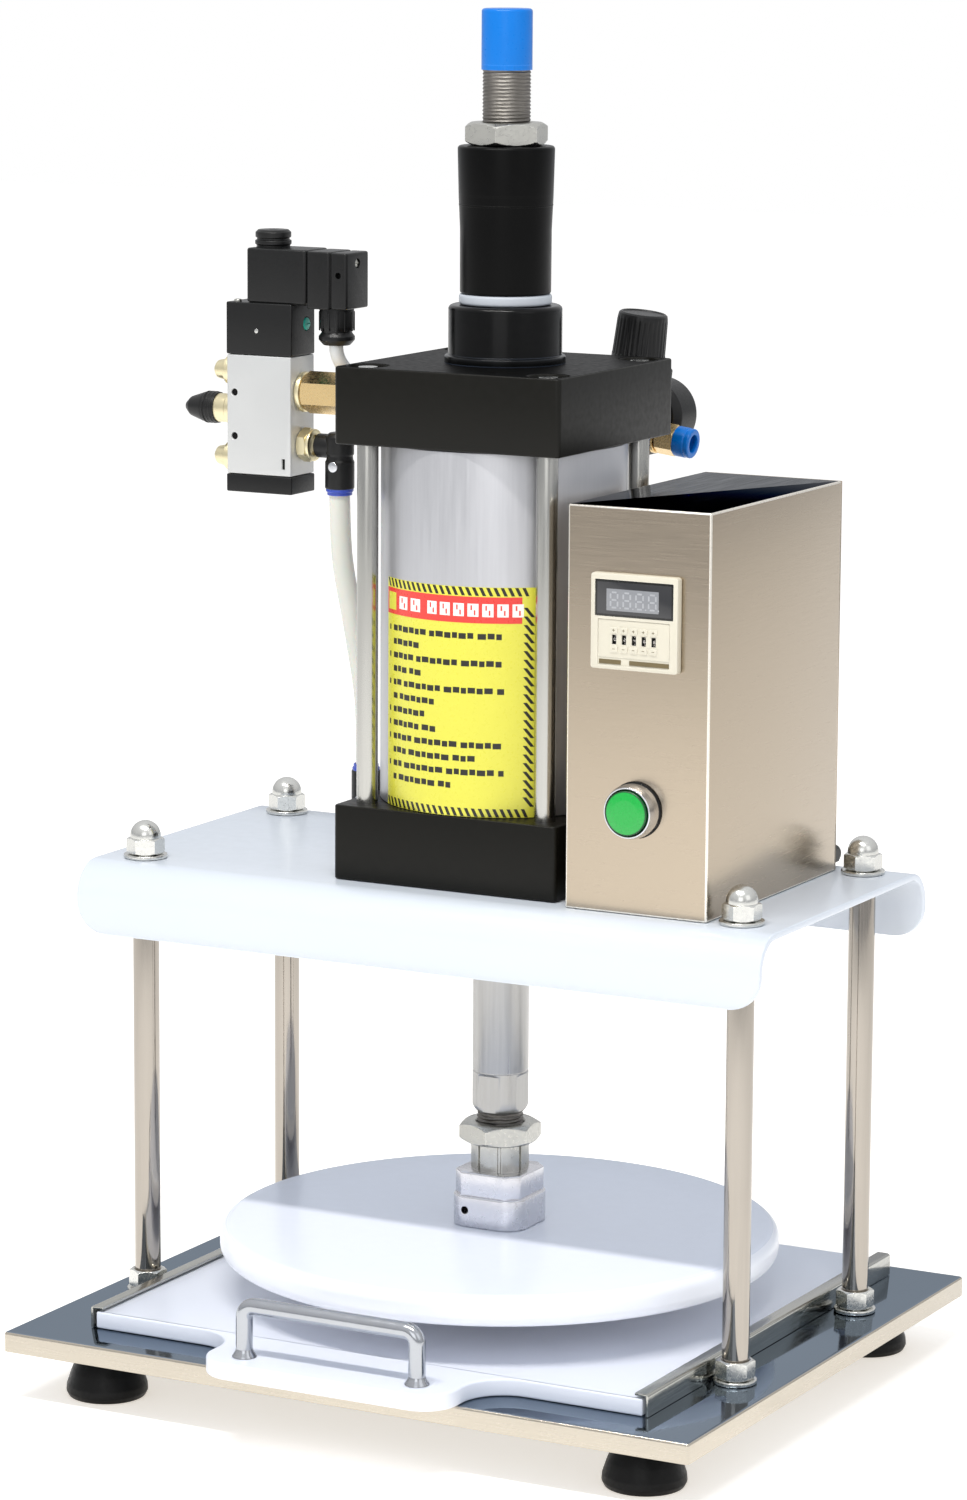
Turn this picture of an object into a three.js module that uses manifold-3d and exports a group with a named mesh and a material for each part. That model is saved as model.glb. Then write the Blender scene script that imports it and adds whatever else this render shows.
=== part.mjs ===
// Bench-top pneumatic dough press with an adjustable-stroke cylinder on a four-column frame.
// Millimetres, +Z up, floor at z = 0, operator's side towards -Y.
import * as THREE from 'three';
import { mergeVertices } from 'three/addons/utils/BufferGeometryUtils.js';
import Module from 'manifold-3d';

const wasm = await Module();
wasm.setup();

// ---------- driving dimensions ----------
const GAP = 0.3; // clearance between touching pieces
const SHEET = 1.5; // stainless sheet thickness

const TRAY = { width: 429, depth: 371, top: 40, lip: 11.7 };
const FOOT = { x: 170, y: 147, baseRadius: 23.2, topRadius: 14.5 };
const COLUMN = { x: 188.3, front: -73.1, back: 87.3, radius: 7.5, stud: 5.7, hex: 19, washer: 12 };
const TABLE = { width: 429, front: -106, back: 118, top: 296, sheet: 4, bottom: 256, bend: 20, corner: 18 };
const RAIL = { outer: 175.5, flange: 8, height: 13, front: -155, back: 167 };
const BOARD = { half: 172, front: -155, back: 165, thickness: 9.7, tabHalf: 77, tabFront: -207 };
const BOARD_CURVE = { fillet: 25, corner: 20 };
const HANDLE = { half: 54, y: -190, radius: 4.7, top: 84, bend: 12, screwHead: 4, screwHeadHeight: 3.7 };

const AXIS = { x: 6.2, y: -5 }; // the cylinder's centre line
const CAP = { side: 140, corner: 3, bottom: 296.3, lowerTop: 338.5, upperBottom: 541, top: 584 };
const TUBE = { outer: 69, bore: 62.5 };
const TIE = { offset: 56, radius: 6, hex: 17, counterbore: 11.5, nutHeight: 7 };
const ROD = { radius: 16, thread: 13.5, flats: 28, flatsTop: 180, bottom: 156, shoulder: 622, top: 774 };
const PISTON = { bottom: 380, thickness: 46, radius: 62.2 };
const BOSS = { radius: 31.8, top: 616.2, flange: 33.8, flangeTop: 588 };
const RING = { top: 622.4, radius: 25.7 };
const SLEEVE = { top: 704, step: 672.5, lower: 25.5, upper: 27 };
const LOCK_NUT = { hex: 41, top: 716.8 };
const THREAD_CAP = { bottom: 745.5, top: 779, radius: 14.1 };
const DISC = { radius: 160, bottom: 73.2, top: 91.3, edge: 7 };
const HUB = { block: 45, blockCorner: 12, blockTop: 109.5, plate: 42, plateCorner: 7, plateTop: 123.2 };
const COLLAR = { radius: 16.6, top: 138.6 };
const ROD_NUT = { hex: 41, top: 150.6 };

const BOX = { left: 86.2, right: 171.8, front: -82.8, back: 87.5, bottom: 296.3, top: 518.3 };
const TIMER = { x: 129.2, z: 457, side: 52, proud: 6, body: 44.4, depth: 70 };
const TIMER_WINDOW = { width: 47, height: 20, z: 469.7, depth: 1 };
const WHEEL = { count: 5, pitch: 5.9, radius: 4.2, width: 3.2, z: 447.4, slotWidth: 2.7, slotHeight: 5.2 };
const BUTTON = { x: 128.8, z: 354.4, ring: 15, barrel: 11, head: 12.3, stem: 9.8, ringDepth: 11.4, wellDepth: 9 };
const BUTTON_CAP = { proud: 13.6, headDepth: 6.6, stemDepth: 24 };
const GLAND = { x: 164, z: 303.5, radius: 6 };

const VALVE = { left: -166, right: -124, front: -18.5, back: 8.5, bottom: 513, top: 581 };
const VALVE_CAP = { top: 611, endBottom: 502.5 };
const COIL = { left: -153.5, right: -114.3, top: 642, nutX: -143, nutRadius: 10.5, nutTop: 652 };
const PLUG = { right: -88, bottom: 609, glandX: -101.5, glandRadius: 10.3, glandBottom: 588 };
const NIPPLE = { z: 560.6, hex: 21, hexEnd: -80, thread: 9.5 };
const UPPER_PORT_Z = 530.5;
const LOWER_PORT_Z = 318;
const ELBOW = { radius: 8.4, upperX: -99.5, lowerX: -82, upperBottom: 503, lowerTop: 349.5 };
const AIR_TUBE = { radius: 6, wall: 1.6 };
const CABLE_RADIUS = 4;

const REGULATOR = { x: 36, y: 97, z: 560, tilt: 0.12, half: 16, top: 18, bottom: -34, portZ: -23 };
const KNOB = { radius: 15.4, top: 46, bottom: 19 };
const GAUGE = { z: -16, radius: 21, near: 20, far: 44 };

// The record measures the object from the middle of its footprint, which the board's tab shifts forward.
const FRAME_SHIFT = -(BOARD.tabFront + TRAY.depth / 2) / 2;

// ---------- geometry helpers ----------
function signedVolume(positions, triangles) {
  const a = new THREE.Vector3();
  const b = new THREE.Vector3();
  const c = new THREE.Vector3();
  let volume = 0;
  for (let i = 0; i < triangles.length; i += 3) {
    a.fromArray(positions, triangles[i] * 3);
    b.fromArray(positions, triangles[i + 1] * 3);
    c.fromArray(positions, triangles[i + 2] * 3);
    volume += a.dot(b.cross(c)) / 6;
  }
  return volume;
}

// Turns a closed three.js geometry into a solid whose faces point outwards.
function toSolid(geometry) {
  const bare = new THREE.BufferGeometry();
  bare.setAttribute('position', geometry.getAttribute('position'));
  bare.setIndex(geometry.index);
  const merged = mergeVertices(bare, 1e-4);
  const positions = merged.getAttribute('position').array;
  const index = merged.index.array;
  const triangles = [];
  for (let i = 0; i < index.length; i += 3) {
    const [a, b, c] = [index[i], index[i + 1], index[i + 2]];
    if (a !== b && b !== c && c !== a) {
      triangles.push(a, b, c);
    }
  }
  if (signedVolume(positions, triangles) < 0) {
    triangles.reverse();
  }
  const mesh = new wasm.Mesh({
    numProp: 3,
    vertProperties: Float32Array.from(positions),
    triVerts: Uint32Array.from(triangles),
  });
  return new wasm.Manifold(mesh);
}

function toGeometry(solid) {
  const mesh = solid.getMesh();
  const geometry = new THREE.BufferGeometry();
  geometry.setAttribute('position', new THREE.BufferAttribute(mesh.vertProperties, 3));
  geometry.setIndex(new THREE.BufferAttribute(mesh.triVerts, 1));
  geometry.computeVertexNormals();
  return geometry;
}

function box([x0, x1], [y0, y1], [z0, z1]) {
  const geometry = new THREE.BoxGeometry(x1 - x0, y1 - y0, z1 - z0);
  geometry.translate((x0 + x1) / 2, (y0 + y1) / 2, (z0 + z1) / 2);
  return toSolid(geometry);
}

// Rotations that carry a piece turned or extruded about Z onto another axis.
const TO_X = new THREE.Matrix4().makeBasis(
  new THREE.Vector3(0, 1, 0), new THREE.Vector3(0, 0, 1), new THREE.Vector3(1, 0, 0));
const TO_MINUS_Y = new THREE.Matrix4().makeBasis(
  new THREE.Vector3(1, 0, 0), new THREE.Vector3(0, 0, 1), new THREE.Vector3(0, -1, 0));
const TO_Z = new THREE.Matrix4();

// A solid of revolution from [radius, height] points, closed on the axis.
function turned(profile, segments = 20, along = TO_Z, at = [0, 0, 0]) {
  const points = profile.map(([radius, height]) => new THREE.Vector2(radius, height));
  const geometry = new THREE.LatheGeometry(points, segments);
  geometry.rotateX(Math.PI / 2);
  geometry.applyMatrix4(along);
  geometry.translate(...at);
  return toSolid(geometry);
}

function rod(radius, low, high, segments = 16, along = TO_Z, at = [0, 0, 0]) {
  return turned([[0, low], [radius, low], [radius, high], [0, high]], segments, along, at);
}

function tube(inner, outer, low, high, segments = 24) {
  return turned([[inner, low], [outer, low], [outer, high], [inner, high], [inner, low]], segments);
}

function hexPrism(acrossFlats, low, high, along = TO_Z, at = [0, 0, 0]) {
  return rod(acrossFlats / Math.sqrt(3), low, high, 6, along, at);
}

// A hexagon nut with its corners turned off at both ends.
function hexNut(acrossFlats, low, high, bore, at = [0, 0, 0]) {
  const corner = acrossFlats / Math.sqrt(3);
  const flat = acrossFlats / 2 - 0.5;
  const slope = (corner - flat) * 0.5;
  const chamfered = turned([[0, low], [flat, low], [corner, low + slope], [corner, high - slope],
    [flat, high], [0, high]], 12, TO_Z, at);
  const hexagon = hexPrism(acrossFlats, low - 1, high + 1, TO_Z, at);
  const nut = chamfered.intersect(hexagon);
  return bore > 0 ? nut.subtract(rod(bore, low - 2, high + 2, 20, TO_Z, at)) : nut;
}

function roundedOutline(width, depth, radius) {
  const [w, d] = [width / 2, depth / 2];
  const shape = new THREE.Shape();
  shape.moveTo(-w + radius, -d);
  shape.lineTo(w - radius, -d);
  shape.absarc(w - radius, -d + radius, radius, -Math.PI / 2, 0);
  shape.lineTo(w, d - radius);
  shape.absarc(w - radius, d - radius, radius, 0, Math.PI / 2);
  shape.lineTo(-w + radius, d);
  shape.absarc(-w + radius, d - radius, radius, Math.PI / 2, Math.PI);
  shape.lineTo(-w, -d + radius);
  shape.absarc(-w + radius, -d + radius, radius, Math.PI, 1.5 * Math.PI);
  return shape;
}

function extruded(shape, low, high, curveSegments = 6, along = TO_Z) {
  const options = { depth: high - low, bevelEnabled: false, curveSegments };
  const geometry = new THREE.ExtrudeGeometry(shape, options);
  geometry.translate(0, 0, low);
  geometry.applyMatrix4(along);
  return toSolid(geometry);
}

function roundedBlock(width, depth, radius, low, high) {
  return extruded(roundedOutline(width, depth, radius), low, high, 3);
}

// A round bar or tube along a curve.
function alongCurve(curve, outer, inner, steps, sides) {
  const section = new THREE.Shape();
  section.absarc(0, 0, outer, 0, 2 * Math.PI);
  if (inner > 0) {
    const hole = new THREE.Path();
    hole.absarc(0, 0, inner, 0, 2 * Math.PI, true);
    section.holes.push(hole);
  }
  const options = { steps, curveSegments: sides, extrudePath: curve, bevelEnabled: false };
  return toSolid(new THREE.ExtrudeGeometry(section, options));
}

function vector([x, y, z]) {
  return new THREE.Vector3(x, y, z);
}

// ---------- scene helpers ----------
function finish(color, roughness, metalness) {
  return new THREE.MeshStandardMaterial({ color, roughness, metalness });
}

const FINISH = {
  mirrorSteel: finish(0xb9ad9c, 0.12, 1),
  brightSteel: finish(0xc8c8c6, 0.25, 1),
  chrome: finish(0xe0e0e0, 0.08, 1),
  zinc: finish(0xb4b4ae, 0.35, 1),
  whitePaint: finish(0xf2f5f8, 0.4, 0),
  whitePlastic: finish(0xf3f3f8, 0.3, 0),
  blackPaint: finish(0x2b2b27, 0.45, 0),
  blackPlastic: finish(0x161616, 0.5, 0),
  blackRubber: finish(0x0b0b0b, 0.7, 0),
  anodised: finish(0xc4c4c6, 0.35, 0.6),
  greyRing: finish(0xb8bcbe, 0.5, 0),
  bluePlastic: finish(0x1483f5, 0.35, 0),
  greenPlastic: finish(0x00b840, 0.3, 0),
  ivoryPlastic: finish(0xe8e2d0, 0.4, 0),
  tealPlastic: finish(0x2a9c88, 0.4, 0),
  brass: finish(0xc9a45c, 0.3, 1),
  valveBody: finish(0xc9c9c9, 0.35, 0.5),
  airTube: finish(0xd0cfc5, 0.3, 0),
  cable: finish(0xeeeeee, 0.5, 0),
};

function group(parent, position = [0, 0, 0]) {
  const node = new THREE.Group();
  node.position.set(...position);
  parent.add(node);
  return node;
}

function part(parent, name, solid, material, position = [0, 0, 0]) {
  const mesh = new THREE.Mesh(toGeometry(solid), material);
  mesh.name = name;
  mesh.position.set(...position);
  parent.add(mesh);
  return mesh;
}

const press = new THREE.Group();
const frame = group(press, [0, FRAME_SHIFT, 0]);
const SIDES = [['left', -1], ['right', 1]];

// The four columns' places, each with the name of its corner.
const CORNERS = [];
for (const [side, sign] of SIDES) {
  CORNERS.push({ name: `front_${side}`, x: sign * COLUMN.x, y: COLUMN.front, end: -1, sign });
  CORNERS.push({ name: `back_${side}`, x: sign * COLUMN.x, y: COLUMN.back, end: 1, sign });
}

// ---------- base: folded tray, feet, rails ----------
function trayPan() {
  const [w, d] = [TRAY.width / 2, TRAY.depth / 2];
  const bottom = TRAY.top - TRAY.lip;
  let pan = box([-w, w], [-d, d], [bottom, TRAY.top]);
  pan = pan.subtract(box([-w + SHEET, w - SHEET], [-d + SHEET, d - SHEET], [bottom - 1, TRAY.top - SHEET]));
  for (const corner of CORNERS) {
    pan = pan.subtract(rod(COLUMN.stud + 0.6, bottom, TRAY.top + 1, 8, TO_Z, [corner.x, corner.y, 0]));
  }
  return pan;
}
part(frame, 'base_tray', trayPan(), FINISH.mirrorSteel);

function rubberFoot() {
  const top = TRAY.top - SHEET - GAP;
  const base = FOOT.baseRadius;
  return turned([[0, 10], [10, 10], [10, 0], [base - 2, 0], [base, 2], [base - 0.8, 7],
    [FOOT.topRadius + 1, 28], [FOOT.topRadius, top], [0, top]], 16);
}
const footSolid = rubberFoot();
for (const corner of CORNERS) {
  part(frame, `foot_${corner.name}`, footSolid, FINISH.blackRubber,
    [corner.sign * FOOT.x, corner.end * FOOT.y, 0]);
}

// The rail's lip hooks inwards over the board's edge.
function guideRail(sign) {
  const low = TRAY.top + GAP;
  const high = TRAY.top + RAIL.height;
  const web = [RAIL.outer - SHEET, RAIL.outer].map((x) => x * sign).sort((a, b) => a - b);
  const lip = [RAIL.outer - RAIL.flange, RAIL.outer].map((x) => x * sign).sort((a, b) => a - b);
  const length = [RAIL.front, RAIL.back];
  return box(web, length, [low, high]).add(box(lip, length, [high - SHEET, high]));
}
for (const [side, sign] of SIDES) {
  part(frame, `${side}_guide_rail`, guideRail(sign), FINISH.brightSteel);
}

// ---------- pull-out board and its handle ----------
function boardOutline() {
  const { half, front, back, tabHalf, tabFront } = BOARD;
  const { fillet, corner } = BOARD_CURVE;
  const shape = new THREE.Shape();
  shape.moveTo(-half, front);
  shape.lineTo(-tabHalf - fillet, front);
  shape.absarc(-tabHalf - fillet, front - fillet, fillet, Math.PI / 2, 0, true);
  shape.lineTo(-tabHalf, tabFront + corner);
  shape.absarc(-tabHalf + corner, tabFront + corner, corner, Math.PI, 1.5 * Math.PI);
  shape.lineTo(tabHalf - corner, tabFront);
  shape.absarc(tabHalf - corner, tabFront + corner, corner, -Math.PI / 2, 0);
  shape.lineTo(tabHalf, front - fillet);
  shape.absarc(tabHalf + fillet, front - fillet, fillet, Math.PI, Math.PI / 2, true);
  shape.lineTo(half, front);
  shape.lineTo(half, back);
  shape.lineTo(-half, back);
  return shape;
}

const BOARD_BOTTOM = TRAY.top + GAP;
const BOARD_TOP = BOARD_BOTTOM + BOARD.thickness;
let boardSolid = extruded(boardOutline(), BOARD_BOTTOM, BOARD_TOP, 8);
for (const [, sign] of SIDES) {
  const hole = rod(2.9, BOARD_BOTTOM - 1, BOARD_TOP + 1, 8, TO_Z, [sign * HANDLE.half, HANDLE.y, 0]);
  boardSolid = boardSolid.subtract(hole);
}
part(frame, 'sliding_board', boardSolid, FINISH.whitePlastic);

// A bent bar, held from below by a screw in each leg.
function boardHandle() {
  const { half, y, radius, top, bend } = HANDLE;
  const foot = BOARD_TOP + GAP;
  const crown = top - radius;
  const path = new THREE.CurvePath();
  const corner = (x) => vector([x, y, crown]);
  path.add(new THREE.LineCurve3(vector([-half, y, foot]), vector([-half, y, crown - bend])));
  path.add(new THREE.QuadraticBezierCurve3(vector([-half, y, crown - bend]), corner(-half),
    vector([-half + bend, y, crown])));
  path.add(new THREE.LineCurve3(vector([-half + bend, y, crown]), vector([half - bend, y, crown])));
  path.add(new THREE.QuadraticBezierCurve3(vector([half - bend, y, crown]), corner(half),
    vector([half, y, crown - bend])));
  path.add(new THREE.LineCurve3(vector([half, y, crown - bend]), vector([half, y, foot])));
  let handle = alongCurve(path, radius, 0, 26, 4);
  for (const [, sign] of SIDES) {
    const at = [sign * half, y, 0];
    const under = TRAY.top - HANDLE.screwHeadHeight;
    handle = handle.add(rod(2.5, TRAY.top - 1, foot + 2, 8, TO_Z, at));
    handle = handle.add(rod(HANDLE.screwHead, under, TRAY.top, 12, TO_Z, at));
  }
  return handle;
}
part(frame, 'board_handle', boardHandle(), FINISH.chrome);

// ---------- columns, table and dome nuts ----------
const TABLE_UNDERSIDE = TABLE.top - TABLE.sheet;

function column() {
  const { radius, stud, washer, hex } = COLUMN;
  const foot = TRAY.top + GAP;
  const washerTop = foot + 2.2;
  const nutTop = washerTop + 10.8;
  const shaft = turned([[0, 30], [stud, 30], [stud, foot], [washer, foot], [washer, washerTop],
    [radius, washerTop], [radius, TABLE_UNDERSIDE - GAP], [stud, TABLE_UNDERSIDE - GAP],
    [stud, TABLE.top + 11], [0, TABLE.top + 11]], 12);
  return shaft.add(hexNut(hex, washerTop, nutTop, 0));
}

function domeNut() {
  const low = TABLE.top + GAP;
  const washerTop = low + 2;
  const hexTop = washerTop + 9.5;
  const dome = 8.8;
  const profile = [[0, low], [12.5, low], [12.5, washerTop], [dome, washerTop], [dome, hexTop + 1]];
  for (const angle of [30, 60]) {
    const a = THREE.MathUtils.degToRad(angle);
    profile.push([dome * Math.cos(a), hexTop + 1 + dome * Math.sin(a)]);
  }
  profile.push([0, hexTop + 1 + dome]);
  const nut = turned(profile, 12).add(hexNut(COLUMN.hex, washerTop - 0.2, hexTop, 0));
  return nut.subtract(rod(COLUMN.stud + 0.5, low - 1, TABLE.top + 11.5, 12));
}

const columnSolid = column();
const domeNutSolid = domeNut();
for (const corner of CORNERS) {
  part(frame, `column_${corner.name}`, columnSolid, FINISH.chrome, [corner.x, corner.y, 0]);
  part(frame, `dome_nut_${corner.name}`, domeNutSolid, FINISH.chrome, [corner.x, corner.y, 0]);
}

// One sheet bent down at its front and back edges.
function tablePlate() {
  const { width, front, back, top, bottom, sheet, bend, corner } = TABLE;
  const profile = new THREE.Shape();
  profile.moveTo(front, bottom);
  profile.lineTo(front + sheet, bottom);
  profile.lineTo(front + sheet, top - bend);
  profile.absarc(front + bend, top - bend, bend - sheet, Math.PI, Math.PI / 2, true);
  profile.lineTo(back - bend, top - sheet);
  profile.absarc(back - bend, top - bend, bend - sheet, Math.PI / 2, 0, true);
  profile.lineTo(back - sheet, bottom);
  profile.lineTo(back, bottom);
  profile.lineTo(back, top - bend);
  profile.absarc(back - bend, top - bend, bend, 0, Math.PI / 2);
  profile.lineTo(front + bend, top);
  profile.absarc(front + bend, top - bend, bend, Math.PI / 2, Math.PI);
  const sheetSolid = extruded(profile, -width / 2, width / 2, 4, TO_X);
  const outline = new THREE.Shape();
  const w = width / 2;
  outline.moveTo(-w, top + 1);
  outline.lineTo(-w, bottom + corner);
  outline.absarc(-w + corner, bottom + corner, corner, Math.PI, 1.5 * Math.PI);
  outline.lineTo(w - corner, bottom);
  outline.absarc(w - corner, bottom + corner, corner, -Math.PI / 2, 0);
  outline.lineTo(w, top + 1);
  let table = sheetSolid.intersect(extruded(outline, -back - 1, -front + 1, 4, TO_MINUS_Y));
  table = table.subtract(rod(26, bottom, top + 1, 16, TO_Z, [AXIS.x, AXIS.y, 0]));
  for (const place of CORNERS) {
    table = table.subtract(rod(COLUMN.stud + 0.6, bottom, top + 1, 8, TO_Z, [place.x, place.y, 0]));
  }
  return table;
}
part(frame, 'table_plate', tablePlate(), FINISH.whitePaint);

// ---------- cylinder: caps, tube, tie rods ----------
const cylinder = group(frame, [AXIS.x, AXIS.y, 0]);
const TIE_PLACES = [];
for (const [side, sign] of SIDES) {
  TIE_PLACES.push({ name: `front_${side}`, x: sign * TIE.offset, y: -TIE.offset });
  TIE_PLACES.push({ name: `back_${side}`, x: sign * TIE.offset, y: TIE.offset });
}

function drillPort(cap, z, radius) {
  return cap.subtract(rod(radius, -CAP.side / 2 - 1, -CAP.side / 2 + 12, 14, TO_X, [0, 0, z]));
}

function bottomCap() {
  let cap = roundedBlock(CAP.side, CAP.side, CAP.corner, CAP.bottom, CAP.lowerTop);
  cap = cap.add(rod(24, CAP.bottom - 10, CAP.bottom + 1, 20));
  cap = cap.subtract(rod(ROD.radius + GAP, CAP.bottom - 11, CAP.lowerTop + 1, 24));
  for (const tie of TIE_PLACES) {
    cap = cap.subtract(rod(TIE.radius + 0.4, CAP.bottom - 1, CAP.lowerTop + 1, 12, TO_Z, [tie.x, tie.y, 0]));
  }
  return drillPort(cap, LOWER_PORT_Z, 7.2);
}
part(cylinder, 'bottom_cap', bottomCap(), FINISH.blackPaint);

// The rear cap carries the boss that the stroke stop lands on.
function topCap() {
  let cap = roundedBlock(CAP.side, CAP.side, CAP.corner, CAP.upperBottom, CAP.top);
  cap = cap.add(turned([[0, CAP.top - 1], [BOSS.flange, CAP.top - 1], [BOSS.flange, BOSS.flangeTop],
    [BOSS.radius, BOSS.flangeTop], [BOSS.radius, BOSS.top - 2], [BOSS.radius - 2, BOSS.top],
    [0, BOSS.top]], 28));
  cap = cap.subtract(rod(ROD.radius + GAP, CAP.upperBottom - 1, BOSS.top + 1, 24));
  const seat = CAP.top - TIE.nutHeight - 2;
  for (const tie of TIE_PLACES) {
    cap = cap.subtract(rod(TIE.radius + 0.4, CAP.upperBottom - 1, seat + 1, 12, TO_Z, [tie.x, tie.y, 0]));
    cap = cap.subtract(rod(TIE.counterbore, seat, CAP.top + 1, 12, TO_Z, [tie.x, tie.y, 0]));
  }
  return drillPort(cap, NIPPLE.z, NIPPLE.thread + GAP);
}
part(cylinder, 'top_cap', topCap(), FINISH.blackPaint);

const barrel = tube(TUBE.bore, TUBE.outer, CAP.lowerTop + GAP, CAP.upperBottom - GAP, 40);
part(cylinder, 'cylinder_tube', barrel, FINISH.anodised);

function tieRod() {
  const seat = CAP.top - TIE.nutHeight - 2;
  const nutLow = seat + GAP;
  const nut = hexNut(TIE.hex, nutLow, nutLow + TIE.nutHeight, 0);
  return rod(TIE.radius, CAP.bottom + 2, nutLow + 1, 10).add(nut);
}
const tieRodSolid = tieRod();
for (const tie of TIE_PLACES) {
  part(cylinder, `tie_rod_${tie.name}`, tieRodSolid, FINISH.chrome, [tie.x, tie.y, 0]);
}

const bumper = tube(ROD.radius + GAP, RING.radius, BOSS.top + GAP, RING.top, 24);
part(cylinder, 'bumper_ring', bumper, FINISH.greyRing);

// ---------- moving rod, piston and press disc ----------
const ram = group(cylinder);

function pistonRod() {
  const { radius, thread, bottom, shoulder, top, flats, flatsTop } = ROD;
  const threadFoot = HUB.blockTop - 8;
  const body = turned([[0, threadFoot], [thread - 1.5, threadFoot], [thread, threadFoot + 1.5],
    [thread, bottom], [radius - 3.2, bottom], [radius, bottom + 4.5], [radius, shoulder],
    [thread, shoulder], [thread, top - 2], [thread - 2, top], [0, top]], 24);
  const reach = radius + 2;
  const half = flats / 2;
  let shaped = body;
  for (const quarter of [0, 1, 2, 3]) {
    const geometry = new THREE.BoxGeometry(reach, 2 * reach, flatsTop - bottom + 1);
    geometry.translate(half + reach / 2, 0, (flatsTop + bottom - 1) / 2);
    geometry.rotateZ(quarter * Math.PI / 2);
    shaped = shaped.subtract(toSolid(geometry));
  }
  return shaped;
}
part(ram, 'piston_rod', pistonRod(), FINISH.chrome);

function pistonBody() {
  const { bottom, thickness, radius } = PISTON;
  const bore = ROD.radius + GAP;
  const groove = radius - 4;
  const profile = [[bore, bottom], [radius - 1, bottom], [radius, bottom + 1]];
  for (const share of [0.25, 0.65]) {
    const low = bottom + thickness * share;
    profile.push([radius, low], [groove, low], [groove, low + 5], [radius, low + 5]);
  }
  profile.push([radius, bottom + thickness - 1], [radius - 1, bottom + thickness],
    [bore, bottom + thickness], [bore, bottom]);
  return turned(profile, 24);
}
part(ram, 'piston', pistonBody(), FINISH.anodised);

part(ram, 'rod_lock_nut', hexNut(ROD_NUT.hex, COLLAR.top + GAP, ROD_NUT.top, ROD.thread + GAP), FINISH.zinc);

// Mounting block of the disc: rounded square foot, chamfered square plate and round collar.
function discHub() {
  const low = DISC.top + GAP;
  const plate = HUB.plate / 2;
  const cut = plate - HUB.plateCorner;
  const octagon = new THREE.Shape([[plate, -cut], [plate, cut], [cut, plate], [-cut, plate],
    [-plate, cut], [-plate, -cut], [-cut, -plate], [cut, -plate]].map(([x, y]) => new THREE.Vector2(x, y)));
  let hub = roundedBlock(HUB.block, HUB.block, HUB.blockCorner, low, HUB.blockTop);
  hub = hub.add(extruded(octagon, HUB.blockTop - 1, HUB.plateTop));
  hub = hub.add(rod(COLLAR.radius, HUB.plateTop - 1, COLLAR.top, 20));
  hub = hub.subtract(rod(ROD.thread + GAP, HUB.blockTop - 8 - GAP, COLLAR.top + 1, 20));
  return hub.subtract(rod(2.2, -HUB.block, 0, 16, TO_MINUS_Y.clone().multiply(
    new THREE.Matrix4().makeScale(1, 1, -1)), [-11, 0, 101]));
}
part(ram, 'disc_hub', discHub(), FINISH.brightSteel);

function pressDisc() {
  const { radius, bottom, top, edge } = DISC;
  const profile = [[0, bottom]];
  for (const degrees of [-90, -45, 0]) {
    const a = THREE.MathUtils.degToRad(degrees);
    profile.push([radius - edge + edge * Math.cos(a), bottom + edge + edge * Math.sin(a)]);
  }
  for (const degrees of [0, 45, 90]) {
    const a = THREE.MathUtils.degToRad(degrees);
    profile.push([radius - edge + edge * Math.cos(a), top - edge + edge * Math.sin(a)]);
  }
  profile.push([0, top]);
  return turned(profile, 48);
}
part(ram, 'press_disc', pressDisc(), FINISH.whitePlastic);

// ---------- stroke stop on the rear thread ----------
function strokeSleeve() {
  const { top, step, lower, upper } = SLEEVE;
  const low = RING.top + GAP;
  const bore = ROD.thread + GAP;
  return turned([[bore, low], [lower - 1, low], [lower, low + 1], [lower, step - 2], [upper, step],
    [upper, top - 1], [upper - 1, top], [bore, top], [bore, low]], 24);
}
part(ram, 'stroke_sleeve', strokeSleeve(), FINISH.blackPlastic);
const lockNut = hexNut(LOCK_NUT.hex, SLEEVE.top + GAP, LOCK_NUT.top, ROD.thread + GAP);
part(ram, 'stroke_lock_nut', lockNut, FINISH.zinc);

function threadCap() {
  const { bottom, top, radius } = THREAD_CAP;
  const cap = turned([[0, bottom], [radius, bottom], [radius, top - 1.2], [radius - 1.2, top], [0, top]], 24);
  return cap.subtract(rod(ROD.thread + 0.2, bottom - 1, ROD.top + 0.5, 24));
}
part(ram, 'thread_cap', threadCap(), FINISH.bluePlastic);

// ---------- control box with timer and start button ----------
const controls = group(frame);

function controlBox() {
  const { left, right, front, back, bottom, top } = BOX;
  const rear = back - SHEET - GAP;
  const half = TIMER.body / 2 + GAP;
  let shell = box([left, right], [front, rear], [bottom, top]);
  shell = shell.subtract(box([left + SHEET, right - SHEET], [front + SHEET, rear + 1],
    [bottom + SHEET, top - SHEET]));
  shell = shell.subtract(box([TIMER.x - half, TIMER.x + half], [front - 1, front + SHEET + 1],
    [TIMER.z - half, TIMER.z + half]));
  shell = shell.subtract(rod(BUTTON.barrel + GAP, -front - 5, -front + 5, 24, TO_MINUS_Y,
    [BUTTON.x, 0, BUTTON.z]));
  return shell.subtract(rod(CABLE_RADIUS + 0.8, left - 1, left + SHEET + 1, 16, TO_X, [0, 66, 470]));
}
part(controls, 'control_box', controlBox(), FINISH.mirrorSteel);

let backPanel = box([BOX.left, BOX.right], [BOX.back - SHEET, BOX.back], [BOX.bottom, BOX.top]);
backPanel = backPanel.subtract(rod(GLAND.radius - 0.7, -BOX.back - 1, -BOX.back + 3, 12, TO_MINUS_Y,
  [GLAND.x, 0, GLAND.z]));
part(controls, 'box_back_panel', backPanel, FINISH.mirrorSteel);

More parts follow.
